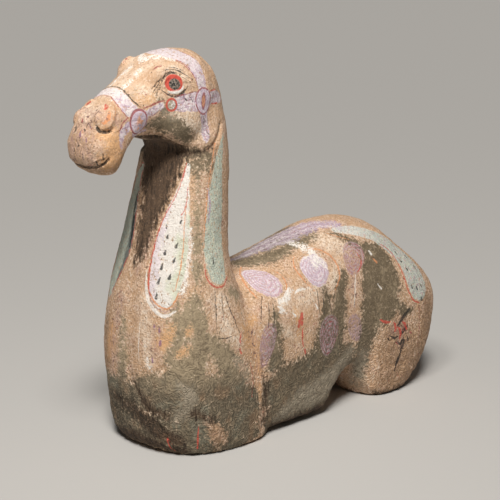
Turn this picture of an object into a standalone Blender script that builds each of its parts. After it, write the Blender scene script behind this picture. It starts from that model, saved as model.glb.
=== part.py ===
"""Pottery horse figure: a torso with its neck and head, in one piece, standing on its leg stubs.

The horse faces -Y, +X is its left side and +Z is up, and lengths are in metres. The forms are
drawn in the millimetres of one drawing, whose sizes stand below, and the three driving sizes
stretch the drawing to the figure's real size.
"""

import math

import bmesh
import bpy
import numpy as np
from mathutils import Vector

# Driving sizes
FIGURE_HEIGHT = 0.517
FIGURE_LENGTH = 0.620
FIGURE_WIDTH = 0.194

# The sizes of the drawing, in its own millimetres
DRAWN_HEIGHT = 517.0
DRAWN_LENGTH = 620.0
DRAWN_WIDTH = 194.0
DRAWN_TO_REAL = np.array(
    [FIGURE_WIDTH / DRAWN_WIDTH, FIGURE_LENGTH / DRAWN_LENGTH, FIGURE_HEIGHT / DRAWN_HEIGHT]
)
REAL_MILLIMETRE = FIGURE_HEIGHT / DRAWN_HEIGHT

# How finely the forms are drawn and fused, and how many facets they are cut down to
RING_POINTS = 48
RINGS = 60
FUSING_GRAIN = 0.0028
FUSING_PASSES = 30
FUSING_SOFTNESS = 0.5
EGG_SEGMENTS = 32
EGG_RINGS = 20
FACETS = 9300
MERGE_DISTANCE = 0.00005

# Forequarters and neck: level rings at (height, front, back, half width, where the widest place
# is as a share of the way back, squareness ahead of it and behind it)
COLUMN_RINGS = (
    (0, -182, -38, 86, 0.55, 2.6, 4.0),
    (5, -196, -33, 94, 0.55, 2.6, 4.0),
    (22, -208, -34, 97, 0.55, 2.5, 3.6),
    (60, -213, -37, 97, 0.55, 2.6, 3.2),
    (110, -216, -42, 97, 0.55, 2.8, 2.9),
    (160, -216, -48, 95, 0.52, 2.6, 2.5),
    (205, -212, -58, 87, 0.48, 2.4, 2.1),
    (240, -205, -64, 78, 0.44, 2.3, 1.9),
    (270, -197, -62, 71, 0.42, 2.3, 1.8),
    (305, -187, -59, 67, 0.40, 2.3, 1.8),
    (340, -176, -58, 64, 0.40, 2.3, 1.8),
    (375, -166, -58, 62, 0.40, 2.2, 1.8),
    (410, -158, -60, 58, 0.40, 2.1, 1.8),
    (440, -150, -65, 50, 0.40, 2.1, 1.8),
    (468, -130, -72, 42, 0.40, 2.0, 1.8),
    (490, -126, -84, 34, 0.40, 2.0, 1.8),
    (502, -124, -98, 20, 0.40, 2.0, 1.8),
)
# Barrel: upright rings at (y, top, bottom, half width, height of the widest place)
BARREL_RINGS = (
    (-150, 186, 20, 76, 140),
    (-110, 199, 5, 86, 146),
    (-60, 208, 3, 92, 146),
    (-10, 219, 3, 92, 138),
    (40, 232, 4, 91, 126),
    (64, 239, 8, 89, 122),
    (90, 246, 36, 86, 121),
    (120, 254, 54, 84, 124),
    (170, 254, 58, 86, 126),
    (215, 242, 60, 86, 124),
    (255, 214, 60, 80, 120),
    (290, 176, 64, 68, 112),
    (310, 144, 74, 50, 106),
    (322, 118, 88, 28, 104),
)
# Haunches: level rings at (height, front, back, half width, where the widest place is,
# squareness ahead of it and behind it)
HAUNCH_RINGS = (
    (0, 168, 256, 80, 0.35, 3.4, 2.6),
    (5, 157, 268, 87, 0.35, 3.4, 2.6),
    (22, 146, 287, 91, 0.4, 3.4, 2.7),
    (50, 126, 308, 93, 0.5, 3.2, 2.8),
    (80, 112, 324, 94, 0.5, 2.9, 2.7),
    (110, 106, 332, 94, 0.5, 2.7, 2.6),
    (140, 108, 330, 92, 0.5, 2.4, 2.4),
    (170, 116, 310, 84, 0.5, 2.3, 2.2),
    (200, 128, 273, 70, 0.5, 2.2, 2.1),
    (224, 150, 238, 46, 0.5, 2.2, 2.1),
    (233, 172, 216, 20, 0.5, 2.2, 2.2),
)
# Head: rings at (y and height of the top, y and height of the underside, half width, squareness)
HEAD_RINGS = (
    (-84, 486, -90, 452, 26, 2.0),
    (-94, 505, -98, 432, 41, 2.0),
    (-112, 515, -112, 414, 50, 2.0),
    (-135, 518, -132, 402, 54, 2.1),
    (-157, 517.5, -154, 400, 54, 2.2),
    (-178, 512, -175, 405, 51, 2.2),
    (-198, 499, -194, 409, 44, 2.1),
    (-217, 486, -212, 415, 40, 2.1),
    (-235, 475, -227, 407, 38, 2.4),
    (-252, 465, -237, 391, 36, 2.5),
    (-269, 452, -244, 376, 37.5, 2.6),
    (-283, 433, -254, 371, 36.5, 2.6),
    (-290, 412, -267, 375, 31, 2.5),
    (-291, 398, -280, 383, 17, 2.4),
)
# Squareness of the upright rings: 2 is an ellipse, less is pinched, more is boxy
BACK_POWER = 2.2
BELLY_POWER = 8.0

# Swellings on each side: name, centre and radii
SWELLINGS = (
    ("cheek", (33, -150, 437), (25, 40, 37)),
    ("brow", (31, -178, 491), (12, 22, 14)),
    ("nostril", (20, -265, 439), (11, 15, 16)),
)
# The clay's colour and how dull it is
CLAY_COLOUR = (0.52, 0.40, 0.29, 1.0)
CLAY_ROUGHNESS = 0.85
# The arch between the hind stubs
ARCH_CENTRE = (0, 215, 0)
ARCH_RADII = (17, 130, 46)
# How much is planed off the feet to level them
FEET_PLANED = 1.0

# Strokes pressed in on both sides: the path, the width and the depth of each (a rise if below 0)
STROKES = (
    # the mouth, and the hollow under the wing of the nostril
    (((0, -283, 385), (13, -286, 388), (27, -284, 393), (35, -276, 399), (37, -266, 402)), 2.6, 4.0),
    (((24, -276, 432), (31, -272, 431), (36, -265, 433)), 3.2, 4.0),
    # the wing of the nostril and the two lids of the eye, all raised
    (((20, -257, 459), (28, -264, 454), (31, -268, 446), (30, -271, 438)), 5.0, -2.4),
    (((49, -193, 475), (49, -187, 487), (47, -177, 492), (47, -166, 490), (49, -156, 482)), 3.0, -1.6),
    (((49, -193, 475), (50, -184, 470), (50, -170, 469), (50, -158, 478)), 3.0, -1.4),
    # the faint parting of the breast, and the parting of the rump
    (((0, -214, 55), (0, -216, 150), (0, -210, 225)), 12.0, 2.4),
    (((0, 296, 46), (0, 318, 80), (0, 328, 115), (0, 318, 150)), 11.0, 6.0),
)
# Bumps raised on both sides: the centre, the radius and the height of each (a dent if below 0)
BUMPS = (
    # the eye in its socket
    ((48, -175, 481), 14.0, -1.5),
    ((48, -175, 481), 7.5, 3.4),
    # the worn root of the ear
    ((33, -124, 505), 10.0, 3.0),
    ((35, -124, 507), 4.5, -3.0),
)


def clear_scene():
    for thing in list(bpy.data.objects):
        bpy.data.objects.remove(thing, do_unlink=True)


def through(stations, count):
    """Values read from a smooth curve through the stations, at even steps of its length."""
    keys = np.array(stations, float)
    ends = np.vstack([2 * keys[0] - keys[1], keys, 2 * keys[-1] - keys[-2]])
    gaps = np.linalg.norm(np.diff(keys[:, :3], axis=0), axis=1)
    reach = np.concatenate([[0], np.cumsum(gaps)])
    rows = []
    for at in np.linspace(0, reach[-1], count):
        i = min(int(np.searchsorted(reach, at, side="right")) - 1, len(keys) - 2)
        t = (at - reach[i]) / gaps[i]
        a, b, c, d = ends[i : i + 4]
        linear = (c - a) * t
        square = (2 * a - 5 * b + 4 * c - d) * t**2
        cubic = (3 * b - a - 3 * c + d) * t**3
        rows.append(0.5 * (2 * b + linear + square + cubic))
    return np.array(rows)


def ring_angles():
    return np.linspace(0, 2 * math.pi, RING_POINTS, endpoint=False)


def rounded(value, power):
    """A sine or cosine bent so that a ring becomes squarer as the power rises above 2."""
    return np.sign(value) * np.abs(value) ** (2 / power)


def skin(name, rings):
    """One closed mesh over a row of rings, each an array of drawn points."""
    mesh = bpy.data.meshes.new(name)
    shape = bmesh.new()
    loops = [[shape.verts.new(point * DRAWN_TO_REAL) for point in ring] for ring in rings]
    for one, two in zip(loops, loops[1:]):
        for i in range(len(one)):
            j = (i + 1) % len(one)
            shape.faces.new((one[i], one[j], two[j], two[i]))
    shape.faces.new(loops[0])
    shape.faces.new(loops[-1])
    bmesh.ops.recalc_face_normals(shape, faces=shape.faces)
    shape.to_mesh(mesh)
    shape.free()
    made = bpy.data.objects.new(name, mesh)
    bpy.context.scene.collection.objects.link(made)
    return made


def level_skin(name, stations):
    """A form standing up through level rings, whose front and back halves differ."""
    turn = ring_angles()
    ahead = np.cos(turn) > 0
    rings = []
    for height, front, back, half, widest, power_ahead, power_behind in through(stations, RINGS):
        power = np.where(ahead, power_ahead, power_behind)
        middle = front + widest * (back - front)
        depth = np.where(ahead, middle - front, back - middle)
        across = half * rounded(np.sin(turn), power)
        along = middle - depth * rounded(np.cos(turn), power)
        rings.append(np.stack([across, along, np.full_like(turn, height)], 1))
    return skin(name, rings)


def barrel():
    turn = ring_angles()
    over = np.cos(turn) > 0
    power = np.where(over, BACK_POWER, BELLY_POWER)
    rings = []
    for y, top, bottom, half, middle in through(BARREL_RINGS, RINGS):
        rise = np.where(over, top - middle, middle - bottom)
        across = half * rounded(np.sin(turn), power)
        up = middle + rise * rounded(np.cos(turn), power)
        rings.append(np.stack([across, np.full_like(turn, y), up], 1))
    return skin("barrel", rings)


def head():
    turn = ring_angles()
    rings = []
    for top_y, top_z, under_y, under_z, half, power in through(HEAD_RINGS, RINGS):
        share = 0.5 + 0.5 * rounded(np.cos(turn), power)
        y = under_y + (top_y - under_y) * share
        z = under_z + (top_z - under_z) * share
        across = half * rounded(np.sin(turn), power)
        rings.append(np.stack([across, y, z], 1))
    return skin("head", rings)


def egg(name, centre, radii):
    """A closed egg at a place of the drawing."""
    bpy.ops.mesh.primitive_uv_sphere_add(segments=EGG_SEGMENTS, ring_count=EGG_RINGS)
    made = bpy.context.active_object
    made.name = name
    for vertex in made.data.vertices:
        drawn = np.array(centre) + np.array(vertex.co) * np.array(radii)
        vertex.co = drawn * DRAWN_TO_REAL
    return made


def settled(thing):
    """The object with its modifiers worked into its mesh."""
    graph = bpy.context.evaluated_depsgraph_get()
    mesh = bpy.data.meshes.new_from_object(thing.evaluated_get(graph))
    thing.modifiers.clear()
    thing.data = mesh
    return thing


def haunches():
    """The hindquarters on two stubs, parted underneath by an arch."""
    form = level_skin("haunches", HAUNCH_RINGS)
    arch = egg("arch", ARCH_CENTRE, ARCH_RADII)
    parting = form.modifiers.new("parting", "BOOLEAN")
    parting.operation = "DIFFERENCE"
    parting.solver = "EXACT"
    parting.object = arch
    settled(form)
    bpy.data.objects.remove(arch, do_unlink=True)
    return form


def fused(name, pieces):
    """The pieces run together into one skin, as clay is, with soft joins."""
    bpy.ops.object.select_all(action="DESELECT")
    for piece in pieces:
        piece.select_set(True)
    bpy.context.view_layer.objects.active = pieces[0]
    bpy.ops.object.join()
    whole = bpy.context.view_layer.objects.active
    whole.name = name
    whole.data.name = name
    blend = whole.modifiers.new("blend", "REMESH")
    blend.mode = "VOXEL"
    blend.voxel_size = FUSING_GRAIN
    soften = whole.modifiers.new("soften", "SMOOTH")
    soften.factor = FUSING_SOFTNESS
    soften.iterations = FUSING_PASSES
    return settled(whole)


def distance_to_path(points, path):
    """How far each point is from a line through the stations of the path."""
    line = np.array(path, float)
    nearest = np.full(len(points), np.inf)
    for start, end in zip(line, line[1:]):
        run = end - start
        along = np.clip((points - start) @ run / (run @ run), 0, 1)
        apart = np.linalg.norm(points - (start + along[:, None] * run), axis=1)
        nearest = np.minimum(nearest, apart)
    return nearest


def carve(form):
    """Presses the strokes and raises the bumps, both alike on the two sides of the horse."""
    mesh = form.data
    count = len(mesh.vertices)
    flat = np.empty(count * 3)
    mesh.vertices.foreach_get("co", flat)
    places = flat.reshape(count, 3)
    outward = np.empty(count * 3)
    mesh.vertices.foreach_get("normal", outward)
    drawn = places / DRAWN_TO_REAL
    drawn[:, 0] = np.abs(drawn[:, 0])
    rise = np.zeros(count)
    for path, width, depth in STROKES:
        rise -= depth * np.exp(-((distance_to_path(drawn, path) / width) ** 2))
    for centre, radius, height in BUMPS:
        apart = np.linalg.norm(drawn - np.array(centre, float), axis=1)
        rise += height * np.exp(-((apart / radius) ** 2))
    places += outward.reshape(count, 3) * (rise * REAL_MILLIMETRE)[:, None]
    mesh.vertices.foreach_set("co", places.reshape(-1))
    mesh.update()


def facet(form):
    """Cuts the skin down to flat facets, smaller where the form turns quickly."""
    sides = sum(len(face.vertices) - 2 for face in form.data.polygons)
    fewer = form.modifiers.new("facets", "DECIMATE")
    fewer.ratio = FACETS / sides
    fewer.use_collapse_triangulate = True
    settled(form)


def level_the_feet(form):
    """Planes the feet off level, and sets the figure down over the middle of its own box."""
    shape = bmesh.new()
    shape.from_mesh(form.data)
    everything = shape.verts[:] + shape.edges[:] + shape.faces[:]
    cut = bmesh.ops.bisect_plane(
        shape,
        geom=everything,
        plane_co=(0, 0, FEET_PLANED * REAL_MILLIMETRE),
        plane_no=(0, 0, 1),
        clear_inner=True,
    )
    rim = [item for item in cut["geom_cut"] if isinstance(item, bmesh.types.BMEdge)]
    bmesh.ops.triangle_fill(shape, edges=rim, use_beauty=True)
    bmesh.ops.triangulate(shape, faces=shape.faces)
    bmesh.ops.remove_doubles(shape, verts=shape.verts, dist=MERGE_DISTANCE)
    bmesh.ops.dissolve_degenerate(shape, edges=shape.edges, dist=MERGE_DISTANCE)
    bmesh.ops.triangulate(shape, faces=shape.faces)
    bmesh.ops.recalc_face_normals(shape, faces=shape.faces)
    places = np.array([vertex.co for vertex in shape.verts])
    low, high = places.min(0), places.max(0)
    middle = Vector(((low[0] + high[0]) / 2, (low[1] + high[1]) / 2, low[2]))
    bmesh.ops.translate(shape, verts=shape.verts, vec=-middle)
    shape.to_mesh(form.data)
    shape.free()


def clay():
    made = bpy.data.materials.new("painted_pottery")
    made.use_nodes = True
    surface = made.node_tree.nodes["Principled BSDF"]
    surface.inputs["Base Color"].default_value = CLAY_COLOUR
    surface.inputs["Roughness"].default_value = CLAY_ROUGHNESS
    surface.inputs["Metallic"].default_value = 0.0
    made.diffuse_color = CLAY_COLOUR
    return made


def form():
    """The whole figure as one soft, finely meshed skin, before it is faceted."""
    pieces = [level_skin("forequarters", COLUMN_RINGS), haunches(), barrel(), head()]
    for side in (-1, 1):
        for name, centre, radii in SWELLINGS:
            pieces.append(egg(name, (side * centre[0], centre[1], centre[2]), radii))
    horse = fused("horse_figure", pieces)
    carve(horse)
    return horse


def build():
    clear_scene()
    horse = form()
    facet(horse)
    level_the_feet(horse)
    for face in horse.data.polygons:
        face.use_smooth = True
    horse.data.materials.clear()
    horse.data.materials.append(clay())
    group = bpy.data.collections.new("pottery_horse")
    bpy.context.scene.collection.children.link(group)
    for old in list(horse.users_collection):
        old.objects.unlink(horse)
    group.objects.link(horse)
    return horse


if __name__ == "__main__":
    build()
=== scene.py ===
"""The painted pottery horse: its fine clay skin, its worn paint, a pale floor and soft studio light."""

import math

import bmesh
import bpy
import numpy as np
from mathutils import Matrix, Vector, noise


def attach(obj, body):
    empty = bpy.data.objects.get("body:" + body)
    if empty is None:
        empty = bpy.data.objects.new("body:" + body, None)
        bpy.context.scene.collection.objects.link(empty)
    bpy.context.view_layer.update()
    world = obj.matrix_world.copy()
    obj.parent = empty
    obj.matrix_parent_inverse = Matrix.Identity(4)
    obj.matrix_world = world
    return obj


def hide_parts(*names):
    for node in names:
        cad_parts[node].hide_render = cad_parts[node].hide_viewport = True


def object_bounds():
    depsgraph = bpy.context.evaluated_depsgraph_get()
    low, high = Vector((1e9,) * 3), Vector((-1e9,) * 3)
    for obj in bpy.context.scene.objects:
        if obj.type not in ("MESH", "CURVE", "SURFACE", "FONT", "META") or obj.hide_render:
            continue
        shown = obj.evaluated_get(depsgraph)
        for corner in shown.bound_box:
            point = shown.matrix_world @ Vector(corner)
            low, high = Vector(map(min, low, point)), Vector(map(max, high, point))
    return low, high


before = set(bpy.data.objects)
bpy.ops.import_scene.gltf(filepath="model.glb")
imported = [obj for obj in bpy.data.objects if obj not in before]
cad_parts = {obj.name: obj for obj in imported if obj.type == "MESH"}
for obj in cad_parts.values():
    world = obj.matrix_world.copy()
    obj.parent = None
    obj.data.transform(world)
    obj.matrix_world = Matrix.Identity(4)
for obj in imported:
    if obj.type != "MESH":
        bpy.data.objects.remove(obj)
SOLID_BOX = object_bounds()

MILLIMETRE = 0.001

# The clay skin, in metres and in counts
CLAY_GRAIN = 1.4 * MILLIMETRE
SOFTENING_ROUNDS = 44
MERGE_DISTANCE = 0.01 * MILLIMETRE
SKIN_FACES = 194000

# How many steps a smooth stroke takes between two of its stations
CURVE_STEPS = 4

# From here on, sizes and places are in millimetres: left of the middle, back, and up from the ground.
# They come from a drawing, whose middle stands at this place of the model.
DRAWING_PLACE = np.array((0.0, -2.8, 0.0))

# How far beyond its edge a patch is followed, and a fine line; how far off the skin its path may run
PATCH_REACH = 26.0
LINE_REACH = 5.0
PATH_SLACK = 7.0

# How firmly fine paint keeps its faces, from 0 to 1, and the steps in which that is counted
DETAIL_KEPT = 0.9
WEIGHT_LEVELS = 20

# The sides of the horse that a stroke is made on
LEFT, RIGHT, BOTH = 1, -1, 0

# Hand-modelled unevenness: size of the swellings and how far they rise, and what is added to it
# from this height down to the ground
UNEVENNESS = ((34.0, 0.9), (13.0, 0.55), (5.5, 0.38), (3.0, 0.20))
LOW_CLAY = 130.0
LOW_UNEVENNESS = ((10.0, 1.5), (5.0, 0.8))

# How far the worn crust of the foot is sunk, its pits and its grain, and how soft its border is
CRUST_DEPTH = 0.9
CRUST_PIT_SIZE, CRUST_PIT_DEPTH = 9.0, 2.0
CRUST_GRAIN_SIZE, CRUST_GRAIN_DEPTH = 3.5, 0.8
CRUST_BORDER = 12.0

# How far beyond a disc's edge its narrowing goes on growing, in its own half widths
NARROWING_REACH = 1.2

# A stroke pressed in the clay has a depth (a rise if below 0), a side, and stations that end with
# the half width there.
PRESSED = (
    # mouth and lips
    (2.6, BOTH, ((0, -298, 383, 1.8), (9, -299, 383, 1.9), (18, -298, 385, 1.8), (25, -296, 387, 1.9),
        (31, -292, 391, 1.6), (35, -287, 397, 1.3))),
    (-1.4, BOTH, ((0, -301, 390, 2.8), (13, -302, 391, 2.8), (24, -299, 395, 2.6), (32, -293, 400, 2.2))),
    (1.6, BOTH, ((22, -298, 392, 1.2), (27, -297, 396, 1.3), (30, -295, 396, 1.1))),
    (1.2, BOTH, ((12, -298, 381, 1.2), (14, -294, 374, 1.2))),
    (1.2, RIGHT, ((14, -286, 452, 2.2), (18, -294, 440, 2.6))),
    # the brow knob of the right side
    (-4.4, RIGHT, ((27, -211, 498, 3.6), (29, -204, 503, 4.8), (30, -198, 504, 4.2))),
    # the flatter poll
    (3.0, BOTH, ((24, -121, 504, 12), (37, -122, 493, 13), (45, -122, 478, 12))),
    # small bumps of the muzzle
    (-1.6, BOTH, ((-2, -296, 451, 3.6), (0, -300, 445, 3.6))),
    (1.2, BOTH, ((0, -303, 437, 4), (12, -301, 434, 4))),
    (-1.2, BOTH, ((-4, -306, 424, 4.6), (6, -306, 420, 4))),
    (1.0, BOTH, ((8, -305, 408, 4), (20, -301, 404, 4))),
    (-1.0, BOTH, ((24, -298, 414, 4.6), (30, -293, 410, 4))),
    # nostril wing, its hollow, and the shade under it
    (-2.2, BOTH, ((15, -271, 459, 2.6), (22, -271, 458, 2.8), (28, -273, 452, 2.8), (31, -278, 443, 2.8),
        (31, -285, 435, 2.4))),
    (2.6, BOTH, ((19, -279, 456, 2.2), (23, -283, 450, 2.6), (26, -288, 443, 2.8), (27, -291, 437, 2.4))),
    (-1.2, BOTH, ((13, -279, 456, 2.2), (17, -285, 449, 2.4), (21, -291, 440, 2.2))),
    (2.0, BOTH, ((22, -296, 435, 2), (26, -293, 430, 2.2), (31, -285, 429, 1.8), (33, -278, 433, 1.4))),
    # eye: lids, lines and the folds about them
    (1.5, BOTH, ((40, -208, 483, 1.5), (42, -201, 491, 1.5), (43, -192, 494, 1.6), (45, -183, 491, 1.5),
        (50, -170, 483, 1.3))),
    (-1.2, BOTH, ((42, -206, 482, 1.8), (43, -199, 488, 1.9), (45, -191, 490, 1.9), (48, -182, 486, 1.8),
        (50, -173, 480, 1.5))),
    (1.3, BOTH, ((42, -207, 475, 1.4), (47, -200, 468, 1.5), (51, -190, 466, 1.5), (52, -179, 471, 1.3))),
    (0.9, BOTH, ((39, -210, 485, 1.2), (37, -219, 475, 1.1))),
    (0.7, BOTH, ((41, -209, 478, 1.2), (40, -215, 470, 1.1))),
    (0.9, BOTH, ((44, -182, 496, 1.2), (50, -166, 486, 1.1))),
    # jaw edge: a lip, and the groove behind and under it
    (-1.3, BOTH, ((24, -223, 420, 4), (31, -208, 419, 4.5), (35, -193, 413, 4.5), (38, -178, 405, 4.5),
        (46, -166, 401, 4.5), (54, -156, 404, 4.5), (57, -145, 410, 4.5))),
    (3.4, BOTH, ((24, -216, 408, 3.6), (32, -203, 405, 4.2), (37, -189, 399, 4.4), (38, -173, 391, 4.4),
        (48, -161, 388, 4.2), (57, -151, 391, 4), (61, -138, 398, 3.8), (59, -126, 409, 3.4),
        (53, -114, 423, 3))),
    # cracks down the throat
    (1.7, LEFT, ((-7, -184, 370, 1), (-1, -192, 346, 1.3), (5, -199, 322, 1.2), (11, -206, 298, 1.2),
        (14, -212, 274, 1.1), (17, -217, 256, 0.9))),
    (1.5, LEFT, ((1, -184, 371, 1), (8, -191, 347, 1.1), (14, -198, 323, 1.1), (19, -205, 299, 1),
        (24, -211, 275, 0.9))),
    (1.2, LEFT, ((13, -183, 373, 0.9), (20, -189, 349, 1), (23, -196, 324, 0.8))),
    (1.2, LEFT, ((-12, -187, 362, 0.9), (-8, -194, 338, 1.1), (-2, -201, 312, 1), (1, -208, 286, 0.9),
        (2, -214, 262, 0.8))),
    # cracks at the shoulder and scratches on the haunch
    (0.9, LEFT, ((83, -159, 218, 0.9), (88, -162, 193, 1), (93, -165, 162, 0.8))),
    (0.9, LEFT, ((85, -147, 212, 0.9), (90, -149, 193, 1), (93, -151, 172, 0.8))),
    (0.8, LEFT, ((85, -142, 208, 0.9), (90, -137, 186, 0.9), (94, -126, 155, 0.8))),
    (0.8, LEFT, ((93, 172, 96, 0.9), (93, 166, 84, 1.1), (92, 163, 72, 0.8))),
    (1.0, LEFT, ((94, 198, 80, 0.9), (94, 194, 66, 1.3), (93, 188, 48, 1), (92, 183, 34, 0.8))),
    (0.8, LEFT, ((88, 186, 176, 0.9), (90, 196, 168, 1.1))),
    (0.8, LEFT, ((86, 164, 182, 0.8), (88, 171, 170, 1))),
    # the seam behind the shoulder, a low ridge with a crack beside it
    (-1.4, BOTH, ((90, -93, 128, 3.4), (91, -88, 100, 4), (92, -88, 70, 4.4), (93, -91, 44, 4.4),
        (93, -94, 16, 3.6))),
    (1.8, BOTH, ((90, -83, 116, 1.6), (91, -80, 92, 2), (91, -79, 66, 2), (91, -82, 42, 2),
        (90, -85, 14, 1.8))),
    # dents of the low chest
    (2.0, LEFT, ((6, -230, 92, 3), (16, -231, 76, 3.6), (30, -229, 62, 3.4), (44, -225, 52, 2.6))),
    (1.6, LEFT, ((44, -226, 44, 2.4), (52, -222, 30, 2.8), (58, -217, 16, 2))),
    (1.4, LEFT, ((72, -207, 46, 2.6), (78, -203, 32, 3), (80, -198, 18, 2.2))),
    (-1.2, LEFT, ((90, -176, 42, 6), (92, -166, 30, 7))),
    (1.5, LEFT, ((-4, -231, 150, 2.4), (-6, -231, 122, 3), (0, -231, 96, 2.6))),
    (1.8, LEFT, ((66, -213, 112, 3.4), (80, -204, 98, 4), (88, -188, 82, 3.4))),
    (-1.6, LEFT, ((60, -218, 92, 5), (74, -211, 76, 6))),
    (1.6, LEFT, ((34, -229, 100, 3), (48, -227, 116, 3.4), (60, -221, 124, 3))),
    (-1.4, LEFT, ((20, -231, 46, 6), (40, -227, 34, 6))),
)

# The tongues of paint that hang on the neck, and the one on the rump
WHITE, BLUE, SLATE, RUMP = 0, 1, 2, 3
TONGUES = (
    (WHITE, LEFT, ((47, -170, 375, 2), (47, -174, 362, 4.5), (47, -178, 349, 7), (47, -182, 335, 10),
        (46, -186, 321, 13), (46, -189, 309, 15.5), (46, -193, 296, 17.5), (46, -199, 278, 20.5),
        (47, -205, 258, 22), (48, -210, 240, 22), (48, -215, 224, 19.5), (49, -217, 212, 14))),
    (BLUE, BOTH, ((54, -115, 408, 2), (58, -124, 392, 5), (61, -130, 374, 8), (63, -135, 348, 12),
        (64, -139, 325, 15), (66, -143, 300, 17), (70, -147, 275, 19), (75, -148, 252, 19),
        (78, -148, 240, 17))),
    (SLATE, RIGHT, ((28, -180, 364, 6), (34, -187, 344, 10), (34, -193, 322, 14), (34, -199, 300, 18),
        (34, -205, 280, 20), (36, -212, 258, 20), (41, -217, 236, 16), (50, -218, 214, 12),
        (54, -217, 200, 8))),
    (RUMP, BOTH, ((36, 112, 245, 5), (42, 140, 239, 9), (49, 168, 229, 10), (56, 192, 215, 13),
        (64, 214, 199, 17), (71, 226, 183, 21), (79, 232, 166, 23), (85, 235, 152, 23))),
)

# Harness bands of lavender and white, and the band along the spine
BAND, NOSEBAND, SPINE_BAND = 0, 1, 2
BANDS = (
    (BAND, BOTH, ((0, -176, 516, 15), (16, -171, 514, 15), (29, -163, 509, 12), (39, -155, 500, 11),
        (46, -152, 488, 9.5), (51, -151, 474, 8))),
    (BAND, BOTH, ((50, -192, 455, 8), (54, -180, 456, 11), (55, -165, 456, 12))),
    (BAND, BOTH, ((39, -232, 446, 4.5), (41, -222, 450, 5), (44, -211, 455, 4))),
    (BAND, BOTH, ((55, -151, 440, 8), (55, -149, 428, 7), (55, -148, 416, 6), (55, -148, 404, 3))),
    (BAND, BOTH, ((51, -137, 457, 8), (46, -123, 457, 8), (39, -110, 454, 7))),
    (BAND, BOTH, ((36, -256, 434, 5), (36, -264, 428, 5.5), (36, -269, 419, 4), (36, -269, 407, 1.5))),
    (BAND, BOTH, ((34, -246, 422, 4.5), (32, -236, 418, 4), (32, -226, 424, 3))),
    (NOSEBAND, BOTH, ((0, -255, 472, 7.5), (12, -256, 471, 8), (25, -257, 464, 8.5), (33, -254, 455, 9),
        (38, -247, 448, 8))),
    (SPINE_BAND, LEFT, ((-24, -34, 212, 7), (-17, -7, 221, 15), (-12, 20, 229, 20), (-6, 48, 238, 22),
        (4, 74, 246, 19), (16, 102, 251, 13), (30, 128, 248, 6))),
)

# Painted discs: a kind, the centre, the point in front of it and the point above it on its edge, how
# strong its rings are, how much of its paint is left, and how much it narrows to the front and down
HARNESS, RING, BIT, EYE, ROUNDEL = 0, 1, 2, 3, 4
DISCS = (
    (HARNESS, (54, -150, 455), (55, -165, 457), (52, -149, 472), 1.0, 1.0, 0.0, 0.0),
    (RING, (49, -199, 455), (47, -206, 455), (49, -198, 463), 1.0, 0.8, 0.0, 0.0),
    (BIT, (37, -242, 437), (36, -255, 437), (40, -238, 453), 1.0, 1.0, 0.0, 0.0),
    (EYE, (47, -193, 481), (42, -204, 482), (44, -192, 492), 1.0, 1.0, 0.0, 0.0),
    (ROUNDEL, (50, -46, 203), (21, -52, 212), (42, -28, 211), 0.8, 0.80, 0.35, 0.0),
    (ROUNDEL, (65, 42, 205), (55, 24, 215), (55, 59, 220), 0.7, 1.0, 0.1, 0.0),
    (ROUNDEL, (67, 117, 208), (61, 101, 216), (56, 130, 227), 1.0, 0.53, 0.0, 0.2),
    (ROUNDEL, (92, -75, 128), (91, -88, 132), (91, -71, 159), 1.1, 0.56, 0.0, 0.3),
    (ROUNDEL, (89, 46, 116), (91, 26, 120), (88, 48, 145), 1.3, 0.54, 0.0, 0.25),
    (ROUNDEL, (84, 104, 114), (84, 91, 110), (84, 108, 138), 0.35, 0.52, 0.0, 0.1),
)

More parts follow.
